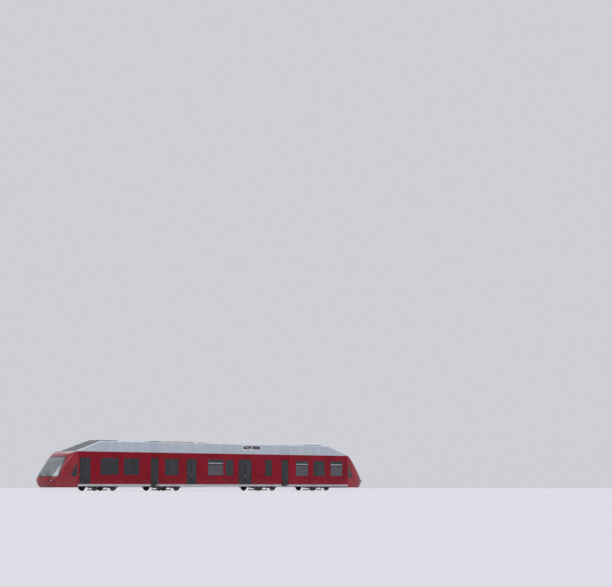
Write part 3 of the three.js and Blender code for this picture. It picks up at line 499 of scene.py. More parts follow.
for section, body in SECTION_BODY.items():
    for side, sign in SIDES.items():
        doorways = spans_on(side, section, DOORWAYS)
        if not doorways:
            continue
        leaves = [leaf for doorway in doorways for leaf in leaves_of(doorway)]
        panes = [side_ring(sign, (a + DOOR_MARGIN + 0.002, b - DOOR_MARGIN - 0.002),
                           DOOR_PANE, 0.022, (0.03, 0.07), (DOOR_FACE - 0.004, DOOR_FACE + 0.0035))
                 for a, b in leaves]
        meeting = [block(((a + b) / 2 - 0.016, sign * (DOOR_FACE - 0.002), DOOR_HEIGHTS[0] + 0.01),
                         ((a + b) / 2 + 0.016, sign * (DOOR_FACE + 0.004), DOOR_HEIGHTS[1] - 0.01),
                         0.003, 2, 1) for a, b in doorways if len(leaves_of((a, b))) == 2]
        edges = [side_ring(sign, (a + 0.001, b - 0.001), DOORWAY, 0.018, (0.004, 0.012),
                           (DOOR_FACE - 0.002, DOOR_FACE + 0.0025)) for a, b in doorways]
        make_piece(f"door_seals_{section}_{side}", panes + meeting + edges, black_rubber, body)
        buttons, bezels = [], []
        for number, (a, b) in enumerate(leaves):
            x = a + 0.038 if len(leaves) == 1 or number % 2 else b - 0.038
            for made, profile in ((bezels, BEZEL), (buttons, BUTTON)):
                made.append(turned_part([(sign * (DOOR_FACE + out), radius) for out, radius in profile],
                                        (x, 0.0, BUTTON_HEIGHT), 1, 24))
        make_pieces(body, f"_{section}_{side}", ("door_bezels", bezels, bright_steel, "roof_metal"),
                    ("door_buttons", buttons, button_lens, "lamp_glass"))

# Noses: a moulded glass-fibre shell, blunt in plan and strongly raked in side view, that carries
# the bonded windscreen between two red pillars under a glossy dome. Its surface is a stack of
# superellipses whose reach ahead of the joint falls with height.
NOSE_JOINT = 14.02
NOSE_HALF_WIDTH = 1.25
NOSE_POWER = 3.4
# Height, reach of the nose ahead of its joint
NOSE_LEVELS = np.array([(0.25, 1.93), (0.45, 2.16), (0.76, 2.23), (0.96, 2.18), (1.50, 1.78),
                        (2.00, 1.33), (2.40, 0.91), (2.62, 0.59), (2.78, 0.15)])
SHELL = 0.06
SCREEN = {"z": (0.98, 2.40), "half": (1.12, 0.96), "round": 0.13}
QUARTER = [(-14.70, 1.02), (-14.10, 1.02), (-14.10, 2.10)]
LAMP = {"y": (0.62, 0.96), "z": (0.69, 0.80)}


def nose_reach(z):
    """Reach at a height: the levels joined by straight lines, then smoothed with a bell curve
    40 mm wide whose ends are carried on oddly, so that the end levels keep their reach."""
    fine = np.linspace(NOSE_LEVELS[0, 0], NOSE_LEVELS[-1, 0], 1013)
    raw = np.interp(fine, NOSE_LEVELS[:, 0], NOSE_LEVELS[:, 1])
    more = 80
    longer = np.concatenate([2 * raw[0] - raw[more:0:-1], raw, 2 * raw[-1] - raw[-2:-more - 2:-1]])
    bell = np.exp(-0.5 * (np.arange(-more, more + 1) / 16.0) ** 2)
    smooth = np.convolve(longer, bell / bell.sum(), "valid")
    return np.interp(z, fine, smooth)


def nose_solid(inset, low, high, back):
    """Closed solid inside the nose: at each height a superellipse drawn in by inset, where the
    share across is the sine and the share forward the cosine, both to the power 2 over the
    nose's power; it runs back past the joint by back and closes at both ends."""
    z = np.linspace(low, high, 84)
    angle = np.pi * (np.linspace(0, 1, 97) - 0.5)
    forward = np.clip(np.cos(angle), 0, None) ** (2 / NOSE_POWER)
    across = np.sign(angle) * np.abs(np.sin(angle)) ** (2 / NOSE_POWER)
    depth = np.maximum(nose_reach(np.clip(z, 0.25, 2.78)) - inset, 0.02)[:, None]
    points = np.stack(np.broadcast_arrays(-NOSE_JOINT - depth * forward,
                                          (NOSE_HALF_WIDTH - inset) * across, z[:, None]), -1)
    first, last = points[:, :1].copy(), points[:, -1:].copy()
    first[..., 0] = last[..., 0] = -NOSE_JOINT + back
    rings = np.concatenate([first, points, last], 1)
    ends = [np.broadcast_to([-NOSE_JOINT + back / 2, 0, z[k]], (1, rings.shape[1], 3)) for k in (0, -1)]
    return sheet_part(np.concatenate([ends[0], rings, ends[1]]), around=True)


def prism(outline, axis, low, high):
    """A flat outline carried along an axis and closed at both ends on its own middle."""
    outline = np.asarray(outline, float)
    a, b = [k for k in range(3) if k != axis]
    points = np.zeros((4, len(outline), 3))
    points[1:3, :, a], points[1:3, :, b] = outline[:, 0], outline[:, 1]
    points[0, :, a], points[3, :, a] = outline[:, 0].mean(), outline[:, 0].mean()
    points[0, :, b], points[3, :, b] = outline[:, 1].mean(), outline[:, 1].mean()
    points[:2, :, axis], points[2:, :, axis] = low, high
    return sheet_part(points, around=True)


def softened(corners, radius, steps=6):
    """A polygon with each corner replaced by a curve: points of the quadratic through the corner
    from one side to the next, radius away from it."""
    corners = np.asarray(corners, float)
    before, after = np.roll(corners, 1, 0) - corners, np.roll(corners, -1, 0) - corners
    start = corners + before / np.linalg.norm(before, axis=1)[:, None] * radius
    stop = corners + after / np.linalg.norm(after, axis=1)[:, None] * radius
    t = np.linspace(0, 1, steps + 1)[None, :, None]
    curve = (1 - t) ** 2 * start[:, None] + 2 * t * (1 - t) * corners[:, None] + t ** 2 * stop[:, None]
    return curve.reshape(-1, 2)


def carved(first, cuts, within=()):
    """First solid after exact Booleans: it keeps what lies in each of within, then loses each of
    the cuts; returns its mesh."""
    host = make_piece("carving_block", [first], red_lacquer)
    tools = [make_piece("carving_tool", [part], red_lacquer) for part in (*within, *cuts)]
    for number, tool in enumerate(tools):
        cut = host.modifiers.new("carve", "BOOLEAN")
        cut.operation = "INTERSECT" if number < len(within) else "DIFFERENCE"
        cut.object, cut.solver = tool, "EXACT"
    result = bpy.data.meshes.new_from_object(host.evaluated_get(bpy.context.evaluated_depsgraph_get()))
    for waste in (host, *tools):
        bpy.data.objects.remove(waste)
    return result


def finish_shell(name, mesh, material, body, replaces, turned):
    """Places a copy of a carved mesh as a piece; a turned one is the other end's."""
    mesh = mesh.copy()
    if turned:
        points = np.zeros(len(mesh.vertices) * 3)
        mesh.vertices.foreach_get("co", points)
        points = points.reshape(-1, 3) * [-1, -1, 1]
        mesh.vertices.foreach_set("co", points.ravel())
    mesh.name = name
    mesh.materials.clear()
    return placed(name, mesh, material, body, replaces, crease=30)


def at_both_ends(*rows):
    """Makes each row's piece at the front, and turned about at the rear. A row gives the name, a
    carved mesh or a list of parts, material, slot and, where it replaces one, the node's name."""
    made = []
    for end, body, turned in (("front", "front_section", False), ("rear", "rear_section", True)):
        for name, shape, material, slot, *nodes in rows:
            replaced = [f"{node}_{end}" for node in nodes]
            if isinstance(shape, list):
                parts = [turned_about(part) if turned else part for part in shape]
                made.append(make_piece(f"{name}_{end}", parts, material, body, replaced))
            else:
                made.append(finish_shell(f"{name}_{end}", shape, material, body, replaced, turned))
    return made


def screen_outline(grow):
    """The windscreen's outline in front view, grown by grow, with round corners."""
    (low, high), (wide, narrow) = SCREEN["z"], SCREEN["half"]
    corners = [(-wide - grow, low - grow), (wide + grow, low - grow), (narrow + grow, high + grow),
               (-narrow - grow, high + grow)]
    return softened(corners, SCREEN["round"] + grow)


def quarter_outline(grow):
    """The quarter window's outline in side view, grown by grow, with round corners."""
    corners = np.array(QUARTER)
    middle = corners.mean(0)
    return softened(middle + (corners - middle) * (1 + grow * 3.0), 0.09)


def lamp_outlines(grow):
    """Both lamp openings in front view, grown by grow."""
    middle, half = sum(LAMP["y"]) / 2, (LAMP["y"][1] - LAMP["y"][0]) / 2
    height, tall = sum(LAMP["z"]) / 2, (LAMP["z"][1] - LAMP["z"][0]) / 2
    outline = rounded_outline(half + grow, tall + grow, 0.05, 6)
    return [outline + [sign * middle, height] for sign in (-1, 1)]


dome_lacquer = lacquer("dome_lacquer", (0.31, 0.004, 0.018), (0.23, 0.003, 0.013), 0.2, coat=0.6, gloss=0.2)
AHEAD = (-16.4, -14.3)
LOW_AHEAD = (-16.4, -15.4)
ACROSS = (-1.3, 1.3)
outer = nose_solid(0.0, 0.25, 2.78, 0.0)
hollow = nose_solid(SHELL, 0.15, 2.72, 0.1)
screen_cut = prism(screen_outline(0.0), 0, *AHEAD)
quarter_cut = prism(quarter_outline(0.0), 1, *ACROSS)
lamp_cuts = [prism(outline, 0, *LOW_AHEAD) for outline in lamp_outlines(0.0)]
shell_mesh = carved(outer, [hollow, screen_cut, quarter_cut, *lamp_cuts])
at_both_ends(("nose_shell", shell_mesh, dome_lacquer, "red_paint", "nose"))

# Windscreens and quarter windows: curved laminated glass bonded onto the shell, with a black
# printed rim that hides the adhesive. A pair of wipers rests on the screen's lower rim, on
# spindles through the shell.
screen_glass = tinted_glass("screen_glass", (0.66, 0.71, 0.71), 0.10, mirror=0.25)
quarter_glass = tinted_glass("quarter_glass", (0.20, 0.22, 0.24), 0.02)
black_rim = varied("black_rim", (0.008, 0.008, 0.009), (0.014, 0.014, 0.015), 25.0, Roughness=0.14,
                   Coat_Weight=0.4)
GLASS_SET_BACK = 0.003
GLASS_BACK = 0.022
RIM = 0.055


def skin_piece(front, back, outline, axis, span, hole=None):
    """Nose skin between depths front and back inside an outline, less a hole: the outline's prism
    meets the solid at depth front and loses the solid at depth back and the hole's prism."""
    cuts = [nose_solid(back, 0.10, 2.74, 0.1)]
    if hole is not None:
        cuts.append(prism(hole, axis, *span))
    return carved(prism(outline, axis, *span), cuts, [nose_solid(front, 0.16, 2.77, 0.0)])


screen_mesh = skin_piece(GLASS_SET_BACK, GLASS_BACK, screen_outline(-0.002), 0, AHEAD)
rim_mesh = skin_piece(0.001, GLASS_SET_BACK, screen_outline(-0.001), 0, AHEAD, screen_outline(-RIM))
quarter_mesh = skin_piece(GLASS_SET_BACK, GLASS_BACK, quarter_outline(-0.002), 1, ACROSS)
quarter_rim_mesh = skin_piece(0.001, GLASS_SET_BACK, quarter_outline(-0.001),
                              1, ACROSS, quarter_outline(-0.07))
at_both_ends(("screen", screen_mesh, screen_glass, "tinted_glass", "windscreen"),
             ("screen_rim", rim_mesh, black_rim, "door_paint"),
             ("quarter_glass", quarter_mesh, quarter_glass, "tinted_glass"),
             ("quarter_rim", quarter_rim_mesh, black_rim, "door_paint"))
WIPER_FOOT = 0.93


def on_nose(y, z, proud=0.0):
    """Point of the nose's surface at that y and z, moved out along its normal by proud."""
    y, z = np.broadcast_arrays(np.asarray(y, float), np.asarray(z, float))

    def ahead(y, z):
        share = np.clip(1 - np.abs(y / NOSE_HALF_WIDTH) ** NOSE_POWER, 0, None) ** (1 / NOSE_POWER)
        return -NOSE_JOINT - nose_reach(z) * share

    step = 1e-3
    slope_y = (ahead(y + step, z) - ahead(y - step, z)) / (2 * step)
    slope_z = (ahead(y, z + step) - ahead(y, z - step)) / (2 * step)
    normal = np.stack([-np.ones_like(slope_y), slope_y, slope_z], -1)
    normal /= np.linalg.norm(normal, axis=-1, keepdims=True)
    return np.stack([ahead(y, z), y, z], -1) + proud * normal


def wiper(foot_y, tip_y):
    """One wiper: a round spindle cap, an arm rising over the rim and a blade along the screen."""
    t = np.linspace(0, 1, 14)
    arm = on_nose(foot_y + (tip_y - foot_y) * 0.62 * t, WIPER_FOOT + 0.22 * t,
                  0.022 + 0.02 * np.sin(np.pi * t)[:, None])
    blade = on_nose(foot_y + (tip_y - foot_y) * (0.25 + 0.78 * t), WIPER_FOOT + 0.12 + 0.22 * t, 0.012)
    base, cap = on_nose(foot_y, WIPER_FOOT), on_nose(foot_y, WIPER_FOOT, 0.03)
    spindle = tube(np.stack([base, base * 0.4 + cap * 0.6, cap]), [0.030, 0.028, 0.018], 14)
    edge = tube(blade, np.interp(t, [0, 0.1, 0.9, 1], [0.006, 0.012, 0.012, 0.006]), 6)
    return [tube(arm, 0.010, 8), spindle], [edge]


arms, blades = [], []
for foot_y, tip_y in ((-0.78, 0.0), (0.06, 0.84)):
    arm_parts, blade_parts = wiper(foot_y, tip_y)
    arms += arm_parts
    blades += blade_parts
wiper_black = rubber_of("wiper_black", (0.012, 0.012, 0.013))
at_both_ends(("wiper_arms", arms, wiper_black, "cab_plastic"),
             ("wiper_blades", blades, black_rubber, "bellows_fabric"))

# Lamps: a clear moulded cover flush with the shell on each side of the nose. Behind it a dark
# bezel carries two bright bowl reflectors with their lamps, and a red tail lamp at the outer end.
clear_cover = varied("clear_cover", (0.92, 0.93, 0.93), (0.84, 0.85, 0.84), 18.0, 0.0001,
                     Transmission_Weight=1.0, Roughness=0.02, IOR=1.45)
bright_reflector = metal_of("bright_reflector", (0.86, 0.86, 0.87), (0.78, 0.78, 0.80), 0.08)
lamp_bezel = rubber_of("lamp_bezel", (0.022, 0.022, 0.024))
lamp_glow = varied("lamp_glow", (0.95, 0.93, 0.86), (0.85, 0.82, 0.72), 90.0, Roughness=0.2,
                   Emission_Strength=1.2, Emission_Color=(1.0, 0.96, 0.85, 1.0))
tail_red = varied("tail_red", (0.42, 0.012, 0.014), (0.30, 0.008, 0.010), 70.0, Roughness=0.15,
                  Coat_Weight=0.6)
LAMP_HEIGHT = 0.745
cover_meshes = [skin_piece(0.004, 0.012, outline, 0, LOW_AHEAD) for outline in lamp_outlines(-0.002)]
bezels, bowls, glows, tails = [], [], [], []
for sign in (-1, 1):
    back = on_nose(sign * 0.79, LAMP_HEIGHT)[0] + 0.085
    bezels.append(block((back, sign * 0.605, 0.675), (back + 0.02, sign * 0.975, 0.815), 0.008, 0))
    for offset in (0.695, 0.80):
        centre = (back, sign * offset, LAMP_HEIGHT)
        bowls.append(turned_part([(-0.002, 0.0), (-0.006, 0.020), (-0.030, 0.040), (-0.036, 0.046),
                                  (-0.030, 0.048), (0.004, 0.040), (0.004, 0.0)], centre, 0, 32))
        glows.append(turned_part([(-0.004, 0.0), (-0.004, 0.012), (-0.018, 0.011), (-0.022, 0.0)],
                                 centre, 0, 16))
    tails.append(turned_part([(0.004, 0.0), (0.004, 0.036), (-0.020, 0.034), (-0.028, 0.024), (-0.030, 0.0)],
                             (back, sign * 0.900, LAMP_HEIGHT), 0, 24))
at_both_ends(("lamp_cover_a", cover_meshes[0], clear_cover, "lamp_glass", "headlamps"),
             ("lamp_cover_b", cover_meshes[1], clear_cover, "lamp_glass"),
             ("lamp_bezels", bezels, lamp_bezel, "cab_plastic"),
             ("lamp_reflectors", bowls, bright_reflector, "roof_metal"),
             ("lamp_lights", glows, lamp_glow, "lamp_glass"), ("tail_lamps", tails, tail_red, "red_paint"))

# Cab: moulded floor, desk, seat frame and glazed partition in grained plastic, from the frame. The
# driver's seat has stitched pads; the desk carries two screens, a master lever and two rows of keys.
grained_plastic = patchy("grained_plastic", (0.045, 0.047, 0.052),
                         ((0.040, 0.042, 0.047), (0.060, 0.062, 0.068)), (3.0, 4.0), (0.3, 0.7),
                         (260.0, 3.0, 0.0008, 0.5), Roughness=0.55)
dress(grained_plastic, "cab_fitting")


def woven(name, color, accent):
    """Seat cloth: two crossed wave patterns make the weave, and broad noise fades the colour."""
    material, tree, shader = shader_of(name, color, Roughness=0.9, Sheen_Weight=0.35)
    place = add_node(tree, "ShaderNodeTexCoord")
    waves = [add_node(tree, "ShaderNodeTexWave", [("Vector", place.outputs["Object"])],
                      {"bands_direction": direction}, Scale=520.0, Distortion=0.6).outputs["Fac"]
             for direction in ("X", "Z")]
    weave = computed(tree, "MULTIPLY", *waves)
    fade = ranged(tree, object_noise(tree, 9.0, 6.0), 0.35, 0.65)
    toned(tree, shader, fade, color, accent)
    roughened(tree, shader, weave, 0.0012, 0.5)
    return material


seat_cloth = woven("seat_cloth", (0.16, 0.020, 0.028), (0.21, 0.030, 0.038))
driver_cloth = woven("driver_cloth", (0.030, 0.032, 0.038), (0.045, 0.047, 0.055))


def pad(low, high, axis, crown=0.35, rows=13, columns=36):
    """Stuffed pad: a superellipse outline shrinks towards both faces by the root of one minus the
    square of its height, so the pad is crowned, and a shallow seam runs round its middle."""
    low, high = np.minimum(low, high), np.maximum(low, high)
    half, middle = (high - low) / 2, (high + low) / 2
    a, b = [k for k in range(3) if k != axis]
    height = np.sin(np.linspace(-np.pi / 2, np.pi / 2, rows))[:, None]
    turn = np.linspace(0, 2 * np.pi, columns, endpoint=False)[None, :]
    girth = (1 - np.abs(height) ** 4) ** 0.3 * (1 - 0.02 * np.exp(-(height / 0.08) ** 2))
    points = np.zeros((rows, columns, 3))
    points[..., a] = half[a] * girth * np.sign(np.cos(turn)) * np.abs(np.cos(turn)) ** crown
    points[..., b] = half[b] * girth * np.sign(np.sin(turn)) * np.abs(np.sin(turn)) ** crown
    points[..., axis] = half[axis] * height
    return sheet_part(points + middle, around=True)


driver_pads = [pad((-14.85, -0.245, 0.955), (-14.43, 0.245, 1.045), 2),
               pad((-14.47, -0.235, 1.03), (-14.385, 0.235, 1.62), 0),
               pad((-14.45, -0.135, 1.64), (-14.375, 0.135, 1.84), 0)]
seat_shell = [block((-14.405, -0.262, 0.945), (-14.272, 0.262, 1.637), 0.035, 2, 4),
              block((-14.398, -0.152, 1.610), (-14.282, 0.152, 1.862), 0.030, 2, 4),
              block((-14.860, -0.262, 0.842), (-14.340, 0.262, 0.968), 0.030, 0, 4)]
seat_shell += [block((-14.70, sign * 0.266, 1.155), (-14.34, sign * 0.318, 1.200), 0.015, 0, 3)
               for sign in (-1, 1)]
rib_heights = np.linspace(0.53, 0.84, 40)
rib_radii = 0.172 + 0.010 * np.sin(2 * np.pi * 6 * (rib_heights - 0.53) / 0.31)
gaiter = turned_part([(0.502, 0.0), (0.502, 0.215), (0.516, 0.210), (0.522, 0.180),
                      *zip(rib_heights, rib_radii), (0.845, 0.0)], (-14.61, 0, 0), 2, 32)
window_bars = [block((-13.988, sign * 0.372, 1.172), (-13.922, sign * 0.408, 2.178), 0.008, 2, 2)
               for sign in (-1, 1)]
window_bars += [block((-13.988, -0.40, z), (-13.922, 0.40, z + 0.036), 0.008, 1, 2) for z in (1.172, 2.142)]
window_pane = block((-13.958, -0.379, 1.201), (-13.952, 0.379, 2.149), 0.001, 2, 1)
clear_glass = tinted_glass("clear_glass", (0.84, 0.87, 0.87))
t = np.linspace(0, 1, 8)
lever = [tube(np.stack([-15.14 - 0.02 * t, 0.42 + 0 * t, 1.12 + 0.14 * t], -1), 0.012, 10),
         turned_part([(0.0, 0.0), (0.006, 0.022), (0.028, 0.030), (0.052, 0.022), (0.06, 0.0)],
                     (-15.16, 0.42, 1.24), 2, 20)]
keys = [turned_part([(0.0, 0.0), (0.0, 0.011), (0.010, 0.010), (0.012, 0.0)], (-15.12 - 0.05 * row, y, 1.119),
                    2, 12) for row in range(2) for y in np.linspace(-0.62, -0.30, 7)]
screens = [block((-15.33, y - 0.15, 1.115), (-15.30, y + 0.15, 1.33), 0.008, 0) for y in (-0.22, 0.16)]
dials = [block((-15.298, y - 0.135, 1.135), (-15.294, y + 0.135, 1.315), 0.002, 0) for y in (-0.22, 0.16)]
screen_dark = varied("screen_dark", (0.010, 0.014, 0.018), (0.016, 0.021, 0.026), 40.0, Roughness=0.08,
                     Coat_Weight=0.4)
for made in at_both_ends(("driver_pads", driver_pads, driver_cloth, "seat_fabric"),
                         ("desk_controls", lever + keys + screens, grained_plastic, "cab_plastic"),
                         ("desk_screens", dials, screen_dark, "tinted_glass"),
                         ("driver_seat_shell", [*seat_shell, gaiter], grained_plastic, "cab_plastic"),
                         ("partition_frame", window_bars, black_rubber, "bellows_fabric"),
                         ("partition_glass", [window_pane], clear_glass, "tinted_glass")):
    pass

# Gangway bellows: coated black cloth sewn into folds over light hoops, clamped to a flat frame on
# each section. One cloth crosses each articulation.
GANGWAY_HALF = 0.4
# Pivot's x, body ahead of it, body behind it
GANGWAYS = {"front": (-6.8, "front_section", "middle_section"),
            "rear": (6.8, "middle_section", "rear_section")}
FOLDS = 8
BELLOWS_HALF = 1.18
BELLOWS_TALL = 1.12
BELLOWS_MIDDLE = 1.62
FOLD_DEPTH = 0.085
bellows_cloth = patchy("bellows_cloth", (0.030, 0.031, 0.034), ((0.026, 0.027, 0.030), (0.070, 0.070, 0.072)),
                       (6.0, 8.0, (0.6, 1.0, 1.0)), (0.35, 0.75), (340.0, 3.0, 0.0006, 0.4), Roughness=0.75,
                       Sheen_Weight=0.15)


def across(x, outline):
    """An outline's (y, z) points in the plane across the vehicle at x, about the bellows' middle."""
    return np.concatenate([np.full((len(outline), 1), x), outline + [0, BELLOWS_MIDDLE]], 1)


def bellows(pivot):
    """Folded tunnel: a rounded rectangle carried along x, drawn in by the fold depth times the
    absolute sine of the way along; a second one inside it, thinner by the cloth, closes it."""
    way = np.linspace(0, 1, FOLDS * 10 + 1)
    x = pivot - GANGWAY_HALF + 0.003 + way * (2 * GANGWAY_HALF - 0.006)
    fold = FOLD_DEPTH * (1 - np.abs(np.sin(np.pi * FOLDS * way)) ** 0.8)
    sheets = []
    for thickness in (0.0, 0.006):
        outlines = [rounded_outline(BELLOWS_HALF - f * 0.9 - thickness, BELLOWS_TALL - f * 0.9 - thickness,
                                    0.16, 10) for f in fold]
        sheets.append(np.stack([across(at, outline) for at, outline in zip(x, outlines)]))
    return sheet_part(np.concatenate([sheets[0], sheets[1][::-1]]), around=True, along=True)


def clamp_frame(x0, x1):
    """Flat clamping frame round the gangway: outer and inner rounded rectangles joined over x."""
    outer = rounded_outline(BELLOWS_HALF, BELLOWS_TALL, 0.16, 10)
    inner = rounded_outline(BELLOWS_HALF - 0.05, BELLOWS_TALL - 0.05, 0.12, 10)
    points = np.stack([across(x0, outer), across(x1, outer), across(x1, inner), across(x0, inner)])
    return sheet_part(points, around=True, along=True)


def bridging(name, end, parts, material, crease):
    """Makes a piece, on no body, that stands for both hoops of a gangway, and bakes its place into
    its mesh."""
    piece = make_piece(name, parts, material, None, (f"bellows_{end}_outer", f"bellows_{end}_inner"),
                       crease)
    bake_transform(piece)


for end, (x, ahead, behind) in GANGWAYS.items():
    bridging(f"bellows_cloth_{end}", end, [bellows(x)], bellows_cloth, 60)
    for side, body in (("a", "middle_section"), ("b", f"{end}_section")):
        face = GANGWAY_HALF if body == behind else -GANGWAY_HALF
        make_piece(f"bellows_clamp_{end}_{side}", [clamp_frame(x + face, x + face * 0.95)],
                   bright_steel, body)

# Gangway covers: coated elastic sheet in shallow folds, riveted to both sections. A red strip on
# each side carries the wall's colour over the dark bellows, and a pale hood the line of the roof.
COVER_FOLDS = 4
COVER_DRAWN_IN = 0.035
COVER_THICK = 0.008
COVER_CENTRE = np.array([0.0, 2.4])
HEADER_LINE = [(1.238, 2.39), (1.240, 2.60), (1.240, 2.776)]
HOOD_LINE = [(1.234, 2.786), (1.194, 3.12), (1.156, 3.43), (1.142, 3.465), (1.118, 3.495), (1.076, 3.520),
             (1.026, 3.545)]
red_cover = lacquer("red_cover", RED, RED_DEEP, 0.42)
pale_cover = lacquer("pale_cover", (0.45, 0.505, 0.56), (0.39, 0.44, 0.49), 0.5, film=0.1, top=4.5)


def cover(pivot, line):
    """Folded cover: a line across the vehicle carried along x and drawn towards the centre by
    half a cosine wave a fold; a second line, nearer by the thickness, closes it into a thin solid."""
    line = np.asarray(line, float)
    way = np.linspace(0, 1, COVER_FOLDS * 12 + 1)[:, None, None]
    drawn = COVER_DRAWN_IN * (0.5 - 0.5 * np.cos(2 * np.pi * COVER_FOLDS * way)) ** 1.5
    reach = np.linalg.norm(line - COVER_CENTRE, axis=1)[None, :, None]
    outer, inner = [COVER_CENTRE + (line - COVER_CENTRE)[None] * (1 - (drawn + t) / reach)
                    for t in (0.0, COVER_THICK)]
    loop = np.concatenate([outer, inner[:, ::-1]], 1)
    seam = (outer + inner) / 2
    closed = np.concatenate([seam, seam[:, ::-1]], 1)
    rows = np.concatenate([closed[:1], loop, closed[-1:]])
    x = pivot - GANGWAY_HALF + 0.004 + way[:, 0, 0] * (2 * GANGWAY_HALF - 0.008)
    x = np.concatenate([x[:1], x, x[-1:]])
    points = np.concatenate([np.broadcast_to(x[:, None, None], (*rows.shape[:2], 1)), rows], -1)
    return sheet_part(points, around=True)


def mirrored(line):
    """The line's other half, from the far side's end to the near side's."""
    return [(-y, z) for y, z in line[::-1]]


whole_hood = HOOD_LINE + [(0.5, 3.55), (0.0, 3.552), (-0.5, 3.55)] + mirrored(HOOD_LINE)
near_header = [(-y, z) for y, z in HEADER_LINE]
for end, (x, ahead, behind) in GANGWAYS.items():
    headers = [cover(x, near_header), cover(x, HEADER_LINE)]
    bridging(f"gangway_header_{end}", end, headers, red_cover, 50)
    bridging(f"gangway_hood_{end}", end, [cover(x, whole_hood)], pale_cover, 50)

# Wheelsets: rolled steel wheels with a coned, dished web, pressed on a forged axle that runs on
# journals outside them. The tread is bright from the rail and the web is brown with brake dust.
AXLE_HEIGHT = 0.326
BOGIES = [-11.20, -5.05, 5.05, 11.20]
HALF_BASE = 0.85
wheel_steel, tree, shader = shader_of("wheel_steel", (0.30, 0.27, 0.25), Metallic=0.85, Roughness=0.55)
rust = ranged(tree, object_noise(tree, 14.0, 8.0), 0.35, 0.7)
toned(tree, shader, rust, (0.23, 0.20, 0.18), (0.12, 0.065, 0.040))
tree.links.new(ranged(tree, rust, 0.0, 1.0, 0.45, 0.8), shader.inputs["Roughness"])
tree.links.new(ranged(tree, rust, 0.0, 1.0, 0.9, 0.4), shader.inputs["Metallic"])
roughened(tree, shader, object_noise(tree, 90.0, 6.0), 0.0012)
tread_steel = metal_of("tread_steel", (0.66, 0.65, 0.64), (0.52, 0.50, 0.48), 0.22, grain=(8.0, 240.0, 8.0))
# Distance from the centre line, radius: from the axle's middle out over back, flange, tread and web
WHEEL = [(0.0, 0.070), (0.640, 0.070), (0.648, 0.082), (0.676, 0.086), (0.680, 0.100), (0.700, 0.120),
         (0.708, 0.170), (0.698, 0.235), (0.690, 0.262), (0.681, 0.268), (0.680, 0.300), (0.6815, 0.315),
         (0.686, 0.3238), (0.691, 0.3258), (0.697, 0.3235), (0.704, 0.312), (0.712, 0.3005), (0.722, 0.2982),
         (0.798, 0.2952), (0.804, 0.290), (0.805, 0.262), (0.800, 0.255), (0.782, 0.248), (0.752, 0.235),
         (0.738, 0.190), (0.744, 0.130), (0.760, 0.104), (0.806, 0.098), (0.812, 0.092), (0.812, 0.074),
         (0.849, 0.074), (0.8495, 0.060), (0.962, 0.060), (0.970, 0.054), (0.970, 0.0)]


def wheelset(x):
    """Axle and both wheels in one turned profile, its near half the far half mirrored."""
    far = np.array(WHEEL)
    near = far[1:][::-1] * [-1, 1]
    return turned_part(np.concatenate([near, far]), (x, 0, AXLE_HEIGHT), 1, 64)


def tread_band(x, sign):
    """Thin bright band worn on the tread and flange root, a hair above the wheel."""
    profile = np.array([(0.704, 0.312), (0.712, 0.3008), (0.722, 0.2986), (0.790, 0.2958), (0.790, 0.290),
                        (0.704, 0.290)])
    return turned_part(np.concatenate([profile, profile[:1]]) * [sign, 1], (x, 0, AXLE_HEIGHT), 1, 64)


def brake_disc(x, sign):
    """Brake disc bolted to a wheel's back: a stepped hub and a flat ring with a bevelled rim."""
    profile = [(0.664, 0.084), (0.664, 0.100), (0.668, 0.112), (0.666, 0.200), (0.669, 0.206), (0.677, 0.206),
               (0.679, 0.200), (0.679, 0.110), (0.683, 0.104), (0.683, 0.084), (0.664, 0.084)]
    return turned_part(np.array(profile) * [sign, 1], (x, 0, AXLE_HEIGHT), 1, 48)


AXLES = [middle + offset for middle in BOGIES for offset in (-HALF_BASE, HALF_BASE)]
for number, x in enumerate(AXLES, 1):
    discs = [brake_disc(x, -1), brake_disc(x, 1)]
    bands = [tread_band(x, -1), tread_band(x, 1)]
    make_piece(f"wheel_pair_{number}", [wheelset(x), *discs], wheel_steel, f"axle_{number}",
               (f"wheelset_{number}",), 28)
    make_piece(f"wheel_tread_{number}", bands, tread_steel, f"axle_{number}", (), 28)

# Underframe: welded steel sills and floor in pale grey paint. The skirt is made of panels about
# 1.6 m long with dark joints; below the floor sit bolted hatches over the cable trays.
SKIRT_PANEL = 1.62
SILL = (0.50, 0.505, 0.525)
SILL_SHADE = (0.40, 0.405, 0.425)


def panel_paint(name, color, shade, patches, pitch, share, dark, depth, strength, **sockets):
    """Paint over upright panel joints: where the way along x, measured in panels, is within share
    of a whole number, the paint turns dark and sinks by depth; patches elsewhere fade it to shade."""
    material, tree, shader = shader_of(name, color, **sockets)
    faded = blended(tree, ranged(tree, object_noise(tree, *patches), 0.35, 0.7), color, shade)
    steps = computed(tree, "MULTIPLY", object_axes(tree)["X"], 1 / pitch)
    joint = ranged(tree, computed(tree, "PINGPONG", steps, 0.5), share * 0.6, share, 1.0, 0.0)
    toned(tree, shader, joint, faded, dark)
    roughened(tree, shader, joint, depth, strength)
    return material


dress(panel_paint("sill_paint", SILL, SILL_SHADE, (1.3, 8.0, (1.0, 1.0, 2.5)),
                  SKIRT_PANEL, 0.004, (0.02, 0.02, 0.022), 0.003, 1.0, Roughness=0.45), "underframe")
HATCH_UNDERSIDE = 0.330
PIPE_HEIGHT = 0.318


